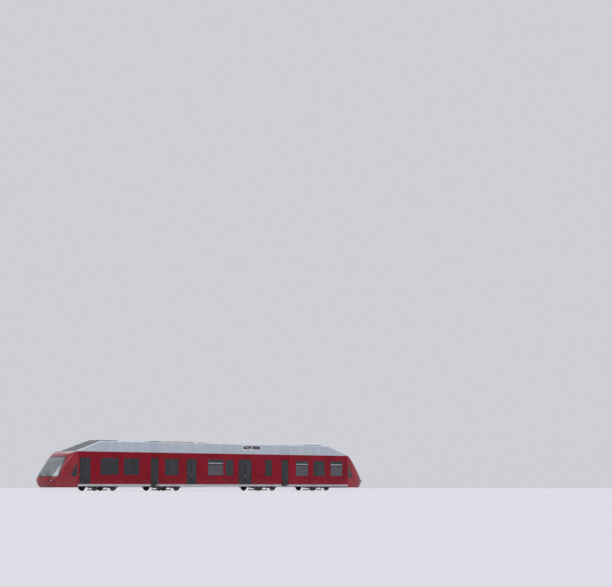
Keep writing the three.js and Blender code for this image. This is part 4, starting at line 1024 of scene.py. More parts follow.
def hatch(x, y, length, width):
    """Bolted hatch under the floor: a rounded plate and a row of bolt heads round its edge."""
    plate = block((x - length / 2, y - width / 2, HATCH_UNDERSIDE - 0.008),
                  (x + length / 2, y + width / 2, HATCH_UNDERSIDE + 0.001), 0.003, 2, 2)
    places = [(x + sx * (length / 2 - 0.03), y + sy * (width / 2 - 0.03)) for sx in (-1, 0, 1)
              for sy in (-1, 1)]
    bolts = [turned_part([(0.0, 0.0), (0.0, 0.011), (-0.007, 0.010), (-0.008, 0.0)],
                         (px, py, HATCH_UNDERSIDE - 0.008), 2, 6) for px, py in places]
    return [plate, *bolts]


HATCH_ROWS = {"front": [-9.2, -8.2, -13.2], "middle": [-2.9, -1.7, -0.5, 0.7, 1.9, 3.0],
              "rear": [9.2, 8.2, 13.2]}
under_paint = metal_of("under_paint", (0.20, 0.205, 0.21), (0.13, 0.13, 0.13), 0.6, metallic=0.1)
for section, body in SECTION_BODY.items():
    hatches = [part for x in HATCH_ROWS[section] for y in (-0.62, 0.62) for part in hatch(x, y, 0.9, 0.85)]
    x = HATCH_ROWS[section][1]
    pipes = [tube([(x - 1.1, y, PIPE_HEIGHT), (x + 1.1, y, PIPE_HEIGHT)], 0.011, 10)
             for y in (-0.06, 0.0, 0.06)]
    make_pieces(body, f"_{section}", ("underfloor_hatches", hatches, under_paint, "sill_paint"),
                ("underfloor_pipes", pipes, bright_steel, "roof_metal"))

# Roof: ribbed aluminium deck between pale lacquered fairings. The fairings are sheets about 1.55 m
# long, with a joint, a drip edge at the foot and flush quarter-turn fasteners.
FAIRING = (0.45, 0.505, 0.56)
FAIRING_SHADE = (0.37, 0.42, 0.47)
FAIRING_SHEET = 1.55
FAIRING_FOOT = (1.25, 2.78)
FAIRING_SHOULDER = (1.17, 3.44)
FAIRING_SLOPE = (FAIRING_FOOT[0] - FAIRING_SHOULDER[0]) / (FAIRING_SHOULDER[1] - FAIRING_FOOT[1])
dress(panel_paint("fairing_paint", FAIRING, FAIRING_SHADE, (0.9, 8.0, (1.5, 1.0, 0.35)),
                  FAIRING_SHEET, 0.0035, (0.16, 0.16, 0.18), 0.002, 0.8, Roughness=0.32, Coat_Weight=0.3,
                  Coat_Roughness=0.15), "roof_fairing")
roof_metal = patchy("roof_metal", (0.42, 0.43, 0.45), ((0.42, 0.43, 0.45), (0.22, 0.21, 0.20)), (1.6, 9.0),
                    (0.35, 0.75), (70.0, 3.0, 0.001, 0.4), Metallic=0.55, Roughness=0.5)
box_paint = metal_of("box_paint", (0.36, 0.37, 0.39), (0.28, 0.285, 0.30), 0.45, metallic=0.15)
dark_metal = metal_of("dark_metal", (0.055, 0.055, 0.060), (0.035, 0.034, 0.034), 0.5, metallic=0.4)
DECK_TOP = 2.780
DECK_HALF = 1.19
DECK = {"front": (-14.02, -7.20), "middle": (-6.40, 6.40), "rear": (7.20, 14.02)}
# Section, first x, last x, half width, top, number of fans
GEAR = [("front", -11.45, -9.95, 0.76, 3.63, 2), ("front", -9.55, -8.00, 0.62, 3.48, 0),
        ("middle", -6.25, -5.35, 0.62, 3.63, 1), ("middle", -4.95, -2.50, 0.76, 3.63, 3),
        ("middle", -1.25, -0.78, 0.30, 3.63, 0), ("middle", 4.75, 6.10, 0.70, 3.48, 0),
        ("rear", 8.00, 9.55, 0.62, 3.48, 0), ("rear", 9.95, 11.45, 0.76, 3.63, 2)]
FAN = 0.26
FAN_LINE = 0.32
# Plate and hook of a latch: half width, distances out from the side, heights below the lid
LATCH = [(0.02, (-0.013, 0.003), (0.13, 0.055)), (0.008, (0.001, 0.010), (0.10, 0.03))]


def fan(x, y, top):
    """Fan in a lid: a raised ring, a hub and nine twisted blades under guard rings and spokes."""
    ring = turned_part([(-0.02, FAN + 0.03), (-0.002, FAN + 0.025), (-0.001, FAN), (-0.03, FAN - 0.004),
                        (-0.075, FAN - 0.004), (-0.075, FAN + 0.03), (-0.02, FAN + 0.03)], (x, y, top), 2, 40)
    hub = turned_part([(-0.07, 0.0), (-0.07, 0.07), (-0.022, 0.065), (-0.016, 0.05), (-0.015, 0.0)],
                      (x, y, top), 2, 24)
    blades = []
    span, chord = np.meshgrid(np.linspace(0.06, FAN - 0.012, 7), np.linspace(-1, 1, 5), indexing="ij")
    for angle in np.arange(9) * 2 * np.pi / 9:
        sweep = angle + chord * 0.20 + 0.15 * span / FAN
        height = top - 0.045 + 0.018 * chord
        upper = np.stack([x + span * np.cos(sweep), y + span * np.sin(sweep), height], -1)
        lower = upper - [0, 0, 0.003]
        blades.append(sheet_part(np.concatenate([upper, lower[:, ::-1]], 1), around=True))
    turn = np.linspace(0, 2 * np.pi, 41)
    circle = np.stack([np.cos(turn), np.sin(turn), 0 * turn], -1)
    guards = [tube(radius * circle + [x, y, top - 0.010], 0.003, 5) for radius in (0.10, 0.17, 0.235)]
    for angle in (0, np.pi / 2):
        reach = FAN * np.array([np.cos(angle), np.sin(angle), 0])
        guards.append(tube(np.array([x, y, top - 0.006]) + np.array([[-1.0], [1.0]]) * reach, 0.003, 5))
    return [ring], [hub, *blades], guards


def drawn_from(mesh):
    """Vertices and triangles of a carved mesh, which is then dropped."""
    whole = bmesh.new()
    whole.from_mesh(mesh)
    bmesh.ops.triangulate(whole, faces=whole.faces)
    points = np.array([v.co for v in whole.verts])
    faces = np.array([[v.index for v in f.verts] for f in whole.faces])
    whole.free()
    bpy.data.meshes.remove(mesh)
    return points, faces


def bored(part, places, top):
    """Part with a round well under each fan, cut by an exact Boolean."""
    wells = [turned_part([(-0.13, 0.0), (-0.13, FAN + 0.001), (0.02, FAN + 0.001), (0.02, 0.0)], (x, y, top),
                         2, 48) for x, y in places]
    return drawn_from(carved(part, wells)) if places else part


def gear_box(x0, x1, half, top, places):
    """Housing: a rounded body and a lid with a lip, both bored under the fans, and two ribs."""
    body = block((x0 + 0.012, -half + 0.012, DECK_TOP - 0.002), (x1 - 0.012, half - 0.012, top - 0.045),
                 0.02, 2, 3)
    lid = block((x0, -half, top - 0.05), (x1, half, top - 0.0045), 0.014, 2, 3)
    ribs = [block((x, -half + 0.05, top - 0.006), (x + 0.03, half - 0.05, top - 0.001), 0.003, 2, 1)
            for x in (x0 + 0.06, x1 - 0.09)]
    return [bored(body, places, top), bored(lid, places, top), *ribs]


def side_louvres(x0, x1, half, top):
    """Blades on both long sides of a housing, each a thin rounded bar that leans out."""
    heights = np.arange(DECK_TOP + 0.12, top - 0.14, 0.05)
    return [block((x0 + 0.12, sign * (half - 0.014), z), (x1 - 0.12, sign * (half + 0.004), z + 0.018),
                  0.004, 0, 1) for sign in (-1, 1) for z in heights]


def latches(x0, x1, half, top):
    """Over-centre latches on the lid: four plates with hooks on each side."""
    return [block((x - wide, sign * (half + near), top - low), (x + wide, sign * (half + far), top - high),
                  0.003, 1, 1) for sign in (-1, 1) for x in np.linspace(x0 + 0.15, x1 - 0.15, 4)
            for wide, (near, far), (low, high) in LATCH]


for section, body in SECTION_BODY.items():
    x0, x1 = DECK[section]
    deck = [block((x0, -DECK_HALF, DECK_TOP - 0.08), (x1, DECK_HALF, DECK_TOP), 0.001, 2, 1)]
    ribs = [block((x0 + 0.05, y - 0.012, DECK_TOP - 0.001), (x1 - 0.05, y + 0.012, DECK_TOP + 0.010),
                  0.004, 0, 2) for y in (-0.95, -0.32, 0.32, 0.95)]
    housings, blades, fittings, rings, rotors, guards = [], [], [], [], [], []
    for _, low, high, half, top, fans in [row for row in GEAR if row[0] == section]:
        places = [(low + (high - low) * (i + 0.5) / fans, FAN_LINE if i % 2 else -FAN_LINE)
                  for i in range(fans)]
        housings += gear_box(low, high, half, top, places)
        blades += side_louvres(low, high, half, top)
        fittings += latches(low, high, half, top)
        for x, y in places:
            ring, rotor, guard = fan(x, y, top)
            rings += ring
            rotors += rotor
            guards += guard
    make_pieces(body, f"_{section}", ("roof_deck", deck + ribs, roof_metal, "roof_metal", "roof_panel"),
                ("gear_housings", housings, box_paint, "roof_metal", "roof_panel"),
                ("gear_louvres", blades, dark_metal, "grille_metal"),
                ("gear_latches", fittings, bright_steel, "roof_metal"),
                ("gear_fans", rings + rotors, dark_metal, "grille_metal"),
                ("gear_fan_guards", guards, bright_steel, "roof_metal"))

# Roof cables: five flexible rubber conduits side by side between each two housings, dipping in the
# middle, where a steel clip holds them to the deck.
conduit = rubber_of("conduit", (0.030, 0.030, 0.032))
CONDUIT_RUNS = {"front": [(-9.95, -9.55)], "middle": [(-5.35, -4.95), (-2.50, -1.25), (4.15, 4.75)],
                "rear": [(9.55, 9.95)]}
for section, body in SECTION_BODY.items():
    runs, clips = [], []
    way = np.linspace(0, 1, 17)
    for a, b in CONDUIT_RUNS[section]:
        for y in -0.14 + 0.075 * np.arange(5):
            path = [a + (b - a) * way, y + 0.015 * np.sin(2 * np.pi * way),
                    2.84 + 0.10 * (1 - np.sin(np.pi * way))]
            runs.append(tube(np.stack(path, -1), 0.022, 10))
        clips.append(block(((a + b) / 2 - 0.02, -0.18, 2.775), ((a + b) / 2 + 0.02, 0.20, 2.822),
                           0.004, 0, 1))
    make_pieces(body, f"_{section}", ("roof_conduits", runs, conduit, "bellows_fabric"),
                ("roof_clips", clips, bright_steel, "roof_metal"))

# Drip edge: a narrow extruded gutter on the foot of the fairings, and quarter-turn fasteners in a
# row above it.
SCREW_HEIGHT = 2.86
LAST_SCREW = 11.7
# Distance out from the fairing's face, radius
SCREW = [(-0.002, 0.0), (-0.002, 0.017), (0.0022, 0.015), (0.003, 0.008), (0.0015, 0.0)]
drip_metal = metal_of("drip_metal", (0.50, 0.51, 0.53), (0.40, 0.41, 0.43), 0.4)


def on_fairing(z):
    """Distance from the centre line of the fairing's leaning face at a height."""
    return FAIRING_FOOT[0] - FAIRING_SLOPE * (z - FAIRING_FOOT[1])


for section, body in SECTION_BODY.items():
    x0, x1 = DECK[section]
    edge, screws = [], []
    for sign in (-1, 1):
        outline = [(sign * 1.2495, 2.7815), (sign * 1.2497, 2.796), (sign * 1.240, 2.800),
                   (sign * 1.236, 2.7815)]
        edge.append(prism(outline, 0, x0 + 0.01, x1 - 0.01))
        for x in np.arange(x0 + 0.35, x1 - 0.2, 0.5167):
            if abs(x) <= LAST_SCREW:
                screws.append(turned_part([(sign * out, radius) for out, radius in SCREW],
                                          (x, sign * on_fairing(SCREW_HEIGHT), SCREW_HEIGHT), 1, 12))
    make_pieces(body, f"_{section}", ("roof_drip_edges", edge, drip_metal, "roof_metal"),
                ("fairing_screws", screws, bright_steel, "roof_metal"))

# Cooling louvres: a white lacquered frame with a middle post in each bay of the fairing, a diagonal
# stay over the first field, and tilted blades of grey aluminium in front of the cooling unit.
BAY = {"x": (2.25, 4.15), "z": (3.13, 3.42), "post": 0.06}
white_frame = lacquer("white_frame", (0.86, 0.87, 0.88), (0.78, 0.79, 0.81), 0.35, film=0.05, coat=0.3,
                      top=4.5)
louvre_metal = metal_of("louvre_metal", (0.25, 0.20, 0.29), (0.17, 0.13, 0.20), 0.5, metallic=0.15)


def leaned(part, sign):
    """Puts a part made as (x, depth, z) onto the leaning face of a fairing."""
    points, faces = part
    leaning = points.copy()
    leaning[:, 1] = sign * (on_fairing(points[:, 2]) + points[:, 1])
    return leaning, faces


COOLER_HALF = 0.98
COOLER_TOP = 3.549
cooler_fans = [(x, y) for x in (2.78, 3.62) for y in (-0.5, 0.5)]
core = block((2.272, -COOLER_HALF + 0.03, DECK_TOP + 0.0003), (4.128, COOLER_HALF - 0.03, 3.505), 0.012, 2, 3)
lid = block((2.270, -COOLER_HALF, 3.495), (4.130, COOLER_HALF, COOLER_TOP), 0.014, 2, 3)
straps = [block((x - 0.02, -COOLER_HALF + 0.01, COOLER_TOP - 0.002),
                (x + 0.02, COOLER_HALF - 0.01, COOLER_TOP + 0.006), 0.003, 1, 1) for x in (2.34, 3.20, 4.06)]
posts = [block((x - 0.03, sign * (COOLER_HALF - 0.04), DECK_TOP + 0.0003),
               (x + 0.03, sign * COOLER_HALF, 3.50), 0.008, 2, 2) for x in (2.302, 3.20, 4.098)
         for sign in (-1, 1)]
slats = [block((2.30, sign * (COOLER_HALF - 0.034), z), (4.10, sign * (COOLER_HALF - 0.004), z + 0.016),
               0.005, 0, 1) for sign in (-1, 1) for z in np.arange(2.86, 3.47, 0.042)]
cooler = [fan(x, y, COOLER_TOP) for x, y in cooler_fans]
rotors = [part for ring, rotor, _ in cooler for part in ring + rotor]
guards = [part for *_, guard in cooler for part in guard]
make_pieces("middle_section", "",
            ("cooling_housing", [bored(core, cooler_fans, COOLER_TOP), *posts],
             dark_metal, "grille_metal", "cooling_unit"),
            ("cooling_lid", [bored(lid, cooler_fans, COOLER_TOP), *straps],
             box_paint, "grille_metal", "cooling_unit"),
            ("cooling_slats", slats, louvre_metal, "grille_metal", "cooling_unit"),
            ("cooling_fans", rotors, dark_metal, "grille_metal", "cooling_unit"),
            ("cooling_fan_guards", guards, bright_steel, "roof_metal"))

for side, sign in SIDES.items():
    (x0, x1), (z0, z1), post = BAY["x"], BAY["z"], BAY["post"]
    middle = (x0 + x1) / 2
    bars = [block((x0 - 0.035, -0.02, z0 - 0.03), (x1 + 0.035, 0.008, z0 + 0.012), 0.006, 0, 2),
            block((x0 - 0.035, -0.02, z1 - 0.012), (x1 + 0.035, 0.008, z1 + 0.018), 0.006, 0, 2),
            block((middle - post / 2, -0.02, z0), (middle + post / 2, 0.006, z1), 0.006, 2, 2)]
    bars += [block((x - 0.022, -0.02, z0 - 0.02), (x + 0.022, 0.007, z1 + 0.01), 0.006, 2, 2)
             for x in (x0 - 0.01, x1 + 0.01)]
    bars.append(tube([(x0 + 0.05, 0.002, z1 - 0.02), (middle - 0.06, 0.002, z0 + 0.02)], 0.012, 8))
    bars.append(block((x0 + 0.02, -0.02, z1 + 0.015), (x0 + 0.20, 0.004, z1 + 0.075), 0.02, 0, 3))
    bars.append(block((4.52, -0.02, z1 + 0.045), (4.68, 0.006, z1 + 0.125), 0.02, 0, 3))
    blades = [prism([(-0.030, z + 0.012), (-0.002, z - 0.011), (0.000, z - 0.007), (-0.028, z + 0.016)],
                    0, a, b)
              for a, b in ((x0 + 0.004, middle - post / 2 - 0.004), (middle + post / 2 + 0.004, x1 - 0.004))
              for z in np.arange(z0 + 0.02, z1 - 0.015, 0.026)]
    make_pieces("middle_section", f"_{side}",
                ("louvre_frame", [leaned(part, sign) for part in bars], white_frame, "fairing_paint"),
                ("louvre_blades", [leaned(part, sign) for part in blades], louvre_metal, "grille_metal"))

# Bogies: welded box-section side beams that dip to the axle boxes, tied by two cross members. Each
# carries two motors with gear cases, coil springs, track brakes and a centre bearing.
BEAM = (0.852, 0.958)
BEAM_OUTLINE = [(0.52, 0.31), (0.66, 0.245), (1.09, 0.245), (1.125, 0.39), (1.00, 0.475), (0.67, 0.475),
                (0.50, 0.405)]
JOURNAL_BORE = 0.064
SPRING_LINE = 0.905
BRAKE_LINE = 0.717
frame_paint = metal_of("frame_paint", (0.075, 0.078, 0.082), (0.060, 0.048, 0.040), 0.6, metallic=0.2)
spring_steel = metal_of("spring_steel", (0.12, 0.125, 0.13), (0.10, 0.08, 0.065), 0.45, metallic=0.5)


def side_beam(sign):
    """Side beam: its outline with softened corners carried across, bored for both journals."""
    outline = np.array(BEAM_OUTLINE + [(-x, z) for x, z in BEAM_OUTLINE[::-1]])
    solid = prism(softened(outline, 0.035, 4), 1, sign * BEAM[0], sign * BEAM[1])
    turn = np.linspace(0, 2 * np.pi, 40, endpoint=False)
    bores = [prism(np.stack([x + JOURNAL_BORE * np.cos(turn), AXLE_HEIGHT + JOURNAL_BORE * np.sin(turn)], -1),
                   1, sign * 0.80, sign * 1.0) for x in (-HALF_BASE, HALF_BASE)]
    return drawn_from(carved(solid, bores))


def axle_cap(x, sign):
    """Hollow cap over a journal's end, with six cover screws."""
    cap = turned_part([(sign * y, r)
                       for y, r in [(0.957, 0.078), (0.957, 0.118), (0.975, 0.116), (0.992, 0.100),
                                    (1.000, 0.085), (1.002, 0.0), (0.976, 0.0), (0.976, 0.078),
                                    (0.957, 0.078)]], (x, 0, AXLE_HEIGHT), 1, 40)
    angles = np.arange(6) * np.pi / 3
    screws = [turned_part([(sign * 0.970, 0.0), (sign * 0.970, 0.010), (sign * 0.984, 0.009),
                           (sign * 0.985, 0.0)], (x + 0.107 * np.cos(a), 0, AXLE_HEIGHT + 0.107 * np.sin(a)),
                          1, 6) for a in angles]
    return [cap, *screws]


def coil(centre, radius, wire, low, high, turns):
    """Coil spring: a tube along a helix that rises evenly from low to high."""
    t = np.linspace(0, 1, int(turns * 16) + 1)
    angle = 2 * np.pi * turns * t
    return tube(np.stack([centre[0] + radius * np.cos(angle), centre[1] + radius * np.sin(angle),
                          low + (high - low) * t], -1), wire, 8)


beams = [side_beam(-1), side_beam(1)]
gussets = [block((x - 0.05, sign * 0.62, 0.325), (x + 0.05, sign * 0.856, 0.405), 0.012, 1, 3)
           for x in (-0.24, 0.24) for sign in (-1, 1)]
cross = [block((x - 0.055, -0.64, 0.328), (x + 0.055, 0.64, 0.408), 0.014, 1, 3) for x in (-0.24, 0.24)]
bolster = [block((-0.295, -0.355, 0.372), (0.295, 0.355, 0.424), 0.012, 2, 3),
           turned_part([(0.424, 0.0), (0.424, 0.198), (0.446, 0.196), (0.452, 0.180), (0.4695, 0.176),
                        (0.4695, 0.0)], (0, 0, 0), 2, 48)]
brackets = [block((sx * 0.60, sign * 0.956, 0.30), (sx * 0.66, sign * 0.985, 0.46), 0.008, 1, 2)
            for sx in (-1, 1) for sign in (-1, 1)]
seats_low = [turned_part([(0.462, 0.0), (0.462, 0.083), (0.484, 0.083), (0.490, 0.060), (0.490, 0.0)],
                         (0, sign * SPRING_LINE, 0), 2, 32) for sign in (-1, 1)]
seats_high = [turned_part([(0.672, 0.0), (0.672, 0.060), (0.680, 0.083), (0.699, 0.083), (0.699, 0.0)],
                          (0, sign * SPRING_LINE, 0), 2, 32) for sign in (-1, 1)]
caps = [part for x in (-HALF_BASE, HALF_BASE) for sign in (-1, 1) for part in axle_cap(x, sign)]
frame_parts = beams + gussets + cross + bolster + brackets + seats_low + seats_high
springs = [coil((0, sign * SPRING_LINE), 0.062, 0.0125, 0.500, 0.668, 4.5) for sign in (-1, 1)]
dampers = [turned_part([(0.488, 0.0), (0.488, 0.026), (0.585, 0.026), (0.588, 0.018), (0.674, 0.018),
                        (0.674, 0.0)], (0, sign * SPRING_LINE, 0), 2, 20) for sign in (-1, 1)]
side_dampers = [turned_part([(-0.17, 0.0), (-0.17, 0.012), (-0.01, 0.012), (-0.005, 0.024), (0.16, 0.024),
                             (0.17, 0.0)], (sx * 0.46, sign * 1.0, 0.44), 0, 16) for sx in (-1, 1)
                for sign in (-1, 1)]
damper_eyes = [block((sx * 0.46 + dx - 0.02, sign * 0.955, 0.42), (sx * 0.46 + dx + 0.02, sign * 1.022, 0.46),
                     0.008, 1, 2) for sx in (-1, 1) for sign in (-1, 1) for dx in (-0.18, 0.18)]


def motor(sign):
    """Traction motor: a rounded housing ringed by cooling ribs, with a turned end bell each side
    and a gear case round the axle, clear of it."""
    x0, x1 = sign * 0.31, sign * 0.67
    housing = block((x0, -0.29, 0.238), (x1, 0.29, 0.392), 0.03, 1, 4)
    ribs = [block((x0 + sign * -0.008, y - 0.005, 0.231), (x1 + sign * 0.008, y + 0.005, 0.399), 0.004, 1, 1)
            for y in np.linspace(-0.24, 0.24, 13)]
    bells = [turned_part([(s * 0.285, 0.0), (s * 0.285, 0.070), (s * 0.31, 0.064), (s * 0.328, 0.035),
                          (s * 0.328, 0.0)], (sign * 0.49, 0, 0.315), 1, 28) for s in (-1, 1)]
    case = turned_part([(-0.30, 0.078), (-0.30, 0.11), (-0.285, 0.128), (-0.165, 0.128), (-0.15, 0.11),
                        (-0.15, 0.078), (-0.30, 0.078)], (sign * HALF_BASE, 0, AXLE_HEIGHT), 1, 40)
    link = block((sign * 0.66, -0.275, 0.265), (sign * 0.745, -0.175, 0.385), 0.012, 0, 2)
    return [housing, *ribs, *bells, case, link]


def track_brake(sign):
    """Track brake: a magnet bar in a rounded housing over six pole shoes, on two round hangers."""
    bar = block((-0.325, sign * 0.695, 0.066), (0.325, sign * 0.739, 0.111), 0.008, 0, 2)
    shoes = [block((x - 0.045, sign * 0.694, 0.0425), (x + 0.045, sign * 0.740, 0.068), 0.004, 0, 1)
             for x in np.linspace(-0.27, 0.27, 6)]
    hangers = [tube([(x, sign * BRAKE_LINE, 0.10), (x, sign * BRAKE_LINE, 0.20),
                     (x, sign * BRAKE_LINE, 0.335)], 0.016, 12) for x in (-0.24, 0.24)]
    collars = [turned_part([(0.17, 0.016), (0.17, 0.024), (0.27, 0.024), (0.27, 0.016), (0.17, 0.016)],
                           (x, sign * BRAKE_LINE, 0), 2, 16) for x in (-0.24, 0.24)]
    return [bar, *shoes, *hangers, *collars]


BOGIE_PARTS = [
    ("bogie_beams", frame_parts + damper_eyes, frame_paint, "frame_paint", "bogie_frame"),
    ("axle_caps", caps, spring_steel, "frame_paint"),
    ("body_springs", springs, spring_steel, "frame_paint", "bogie_frame"),
    ("dampers", dampers + side_dampers, bright_steel, "wheel_steel"),
    ("motors", motor(-1) + motor(1), under_paint, "frame_paint", "bogie_frame"),
    ("track_brakes", track_brake(-1) + track_brake(1), wheel_steel, "frame_paint", "bogie_frame")]
for number, x in enumerate(BOGIES, 1):
    make_pieces(f"bogie_{number}", f"_{number}", *(
        (name, [moved(part, (x, 0, 0)) for part in parts], *rest) for name, parts, *rest in BOGIE_PARTS))

# Saloon seats: padded cushions and backs with two sewn channels, on moulded shells and a plinth
# over the wheel boxes, back to back; a tread plate ties the plinths across the aisle.
BOX_TOP = 0.74
AISLE_TOP = 0.53
ROWS = [(-1.29, -0.89), (-0.40, -0.80), (0.40, 0.80), (1.29, 0.89)]
SEAT_SPAN = (0.565, 1.135)
shell_plastic, tree, shader = shader_of("shell_plastic", (0.20, 0.205, 0.215), Roughness=0.45)
scuffed = ranged(tree, object_noise(tree, 7.0, 8.0), 0.4, 0.75)
toned(tree, shader, scuffed, (0.20, 0.205, 0.215), (0.27, 0.275, 0.285))
tree.links.new(ranged(tree, scuffed, 0.0, 1.0, 0.4, 0.6), shader.inputs["Roughness"])
roughened(tree, shader, object_noise(tree, 300.0, 2.0), 0.0005)


def channelled(part, axis, face, depth, lines):
    """Presses sewn channels into a pad: along one axis the surface sinks by depth times a bell
    curve round each line, only on the side where the other axis, face, points."""
    points, faces = part
    pressed = points.copy()
    middle = (points[:, face].max() + points[:, face].min()) / 2
    upper = (points[:, face] - middle) / np.ptp(points[:, face]) * 2
    for line in lines:
        pressed[:, face] -= depth * np.exp(-((points[:, axis] - line) / 0.012) ** 2) * upper
    return pressed, faces


def seat_places(x):
    """Each seat over a bogie at x: first and last x, x of the back and the way it faces, side and
    span across the vehicle."""
    for front, back in ROWS:
        for sign in (-1, 1):
            yield (x + min(front, back), x + max(front, back), x + back, math.copysign(1, front - back),
                   sign, (sign * SEAT_SPAN[0], sign * SEAT_SPAN[1]))


def seat_pads(x):
    """Cushions and backs of the four rows, on both sides of the aisle."""
    pads = []
    for low, high, back, facing, sign, (y0, y1) in seat_places(x):
        channels = ((y0 + y1) / 2 - 0.12, (y0 + y1) / 2 + 0.12)
        cushion = pad((low + 0.01, y0, BOX_TOP + 0.085), (high - 0.01, y1, BOX_TOP + 0.178), 2, 0.3, 17, 60)
        rest = pad((back - facing * 0.030, y0 + sign * 0.01, BOX_TOP + 0.19),
                   (back + facing * 0.030, y1 - sign * 0.01, 1.475), 0, 0.3, 17, 60)
        pads.append(channelled(cushion, 1, 2, 0.008, channels))
        pads.append(channelled(rest, 1, 0, 0.006, channels))
    return pads


def seat_shells(x):
    """Seat pans, backs and their feet, the plinths and the tread plate across the aisle."""
    parts = []
    for low, high, back, facing, sign, (y0, y1) in seat_places(x):
        parts.append(block((low, y0, BOX_TOP + 0.045), (high, y1, BOX_TOP + 0.09), 0.018, 2, 3))
        parts.append(block((back - facing * 0.050, y0, BOX_TOP + 0.10), (back - facing * 0.030, y1, 1.478),
                           0.009, 0, 3))
        parts.append(block((low + 0.09, sign * 0.64, BOX_TOP + 0.01),
                           (high - 0.09, sign * 1.05, BOX_TOP + 0.05), 0.01, 2, 2))
    for sign in (-1, 1):
        parts.append(block((x - 1.2, sign * 0.58, BOX_TOP + 0.0005), (x + 1.2, sign * 1.10, BOX_TOP + 0.03),
                           0.01, 2, 2))
    parts.append(block((x - 0.04, -0.515, AISLE_TOP + 0.0005), (x + 0.04, 0.515, AISLE_TOP + 0.012),
                       0.004, 1, 2))
    return parts


def seat_handles(x):
    """Bent grab handle on the aisle side of each back: up, across and down again, as a half
    circle whose height is raised to the power 0.6."""
    turn = np.linspace(0, np.pi, 15)
    return [tube(np.stack([0 * turn + back, sign * 0.605 + 0.055 * np.cos(turn),
                           1.455 + 0.075 * np.sin(turn) ** 0.6], -1), 0.011, 10)
            for _, _, back, _, sign, _ in seat_places(x)]


handle_paint = lacquer("handle_paint", (0.62, 0.42, 0.03), (0.52, 0.34, 0.02), 0.3, film=0.0, coat=0.4)
SEAT_BODIES = ("front_section", "middle_section", "middle_section", "rear_section")
for number, (x, body) in enumerate(zip(BOGIES, SEAT_BODIES), 1):
    pads = make_piece(f"seat_pads_{number}", seat_pads(x), seat_cloth, body,
                      (f"seats_{number}",), 60)
    make_pieces(body, f"_{number}", ("seat_shells", seat_shells(x), shell_plastic, "cab_plastic", "seats"),
                ("seat_handles", seat_handles(x), handle_paint, "roof_metal"))

# Saloon: a speckled floor covering welded to the plate, a lined ceiling with two light strips,
# and bent steel poles and rails at the doors.
FLOOR_TOP = 0.48
CEILING = 2.699
POLE_LINE = 0.62
floor_covering, tree, shader = shader_of("floor_covering", (0.16, 0.17, 0.19), Roughness=0.6)
flecks = ranged(tree, object_noise(tree, 180.0, 2.0), 0.60, 0.66)
walked = blended(tree, ranged(tree, object_noise(tree, 0.8, 6.0), 0.35, 0.65), (0.15, 0.16, 0.18),
                 (0.20, 0.205, 0.21))
toned(tree, shader, flecks, walked, (0.42, 0.43, 0.45))
roughened(tree, shader, object_noise(tree, 500.0, 2.0), 0.0004)
lining = patchy("lining", (0.62, 0.63, 0.64), ((0.62, 0.63, 0.64), (0.55, 0.56, 0.57)), (1.1, 5.0),
                (0.35, 0.65), (240.0, 2.0, 0.0004, 0.4), Roughness=0.5)
light_strip = patchy("light_strip", (0.90, 0.91, 0.92), ((0.90, 0.91, 0.92), (0.84, 0.85, 0.86)), (30.0, 2.0),
                     (0.3, 0.7), Roughness=0.4, Emission_Strength=0.6, Emission_Color=(1.0, 0.97, 0.92, 1.0))
# First and last x of each stretch of flat floor, and of the ceiling, by section
FLAT_FLOORS = {"front": [(-13.97, -12.54), (-9.86, -7.21)], "middle": [(-3.71, 3.71)],
               "rear": [(7.21, 9.86), (12.54, 13.97)]}
CEILINGS = {"front": (-13.90, -7.25), "middle": (-6.35, 6.35), "rear": (7.25, 13.90)}
POLES = {"front": [-12.75, -9.70, -8.05], "middle": [-3.60, -2.55, 1.55, 3.25], "rear": [8.05, 9.70, 12.75]}


def pole(x, y):
    """Pole from floor to ceiling with turned sockets at both ends."""
    sockets = [turned_part([(z, 0.0), (z, 0.034), (z + up * 0.012, 0.032), (z + up * 0.03, 0.019),
                            (z + up * 0.03, 0.0)], (x, y, 0), 2, 20)
               for z, up in ((FLOOR_TOP + 0.003, 1), (CEILING - 0.032, -1))]
    return [tube([(x, y, FLOOR_TOP + 0.01), (x, y, 1.5), (x, y, CEILING - 0.04)], 0.016, 14), *sockets]


def ceiling_rail(x0, x1, y):
    """Rail under the ceiling whose ends bend up to it in a quarter circle."""
    turn = np.linspace(0, np.pi / 2, 7)
    inward, height = 0.15 * (1 - np.cos(turn)), CEILING - 0.07 - 0.15 * np.sin(turn)
    first = np.stack([x0 + inward, 0 * turn + y, height], -1)
    last = np.stack([x1 - inward, 0 * turn + y, height], -1)[::-1]
    path = np.concatenate([[[x0, y, CEILING - 0.034]], first, last, [[x1, y, CEILING - 0.034]]])
    return tube(path, 0.016, 12)


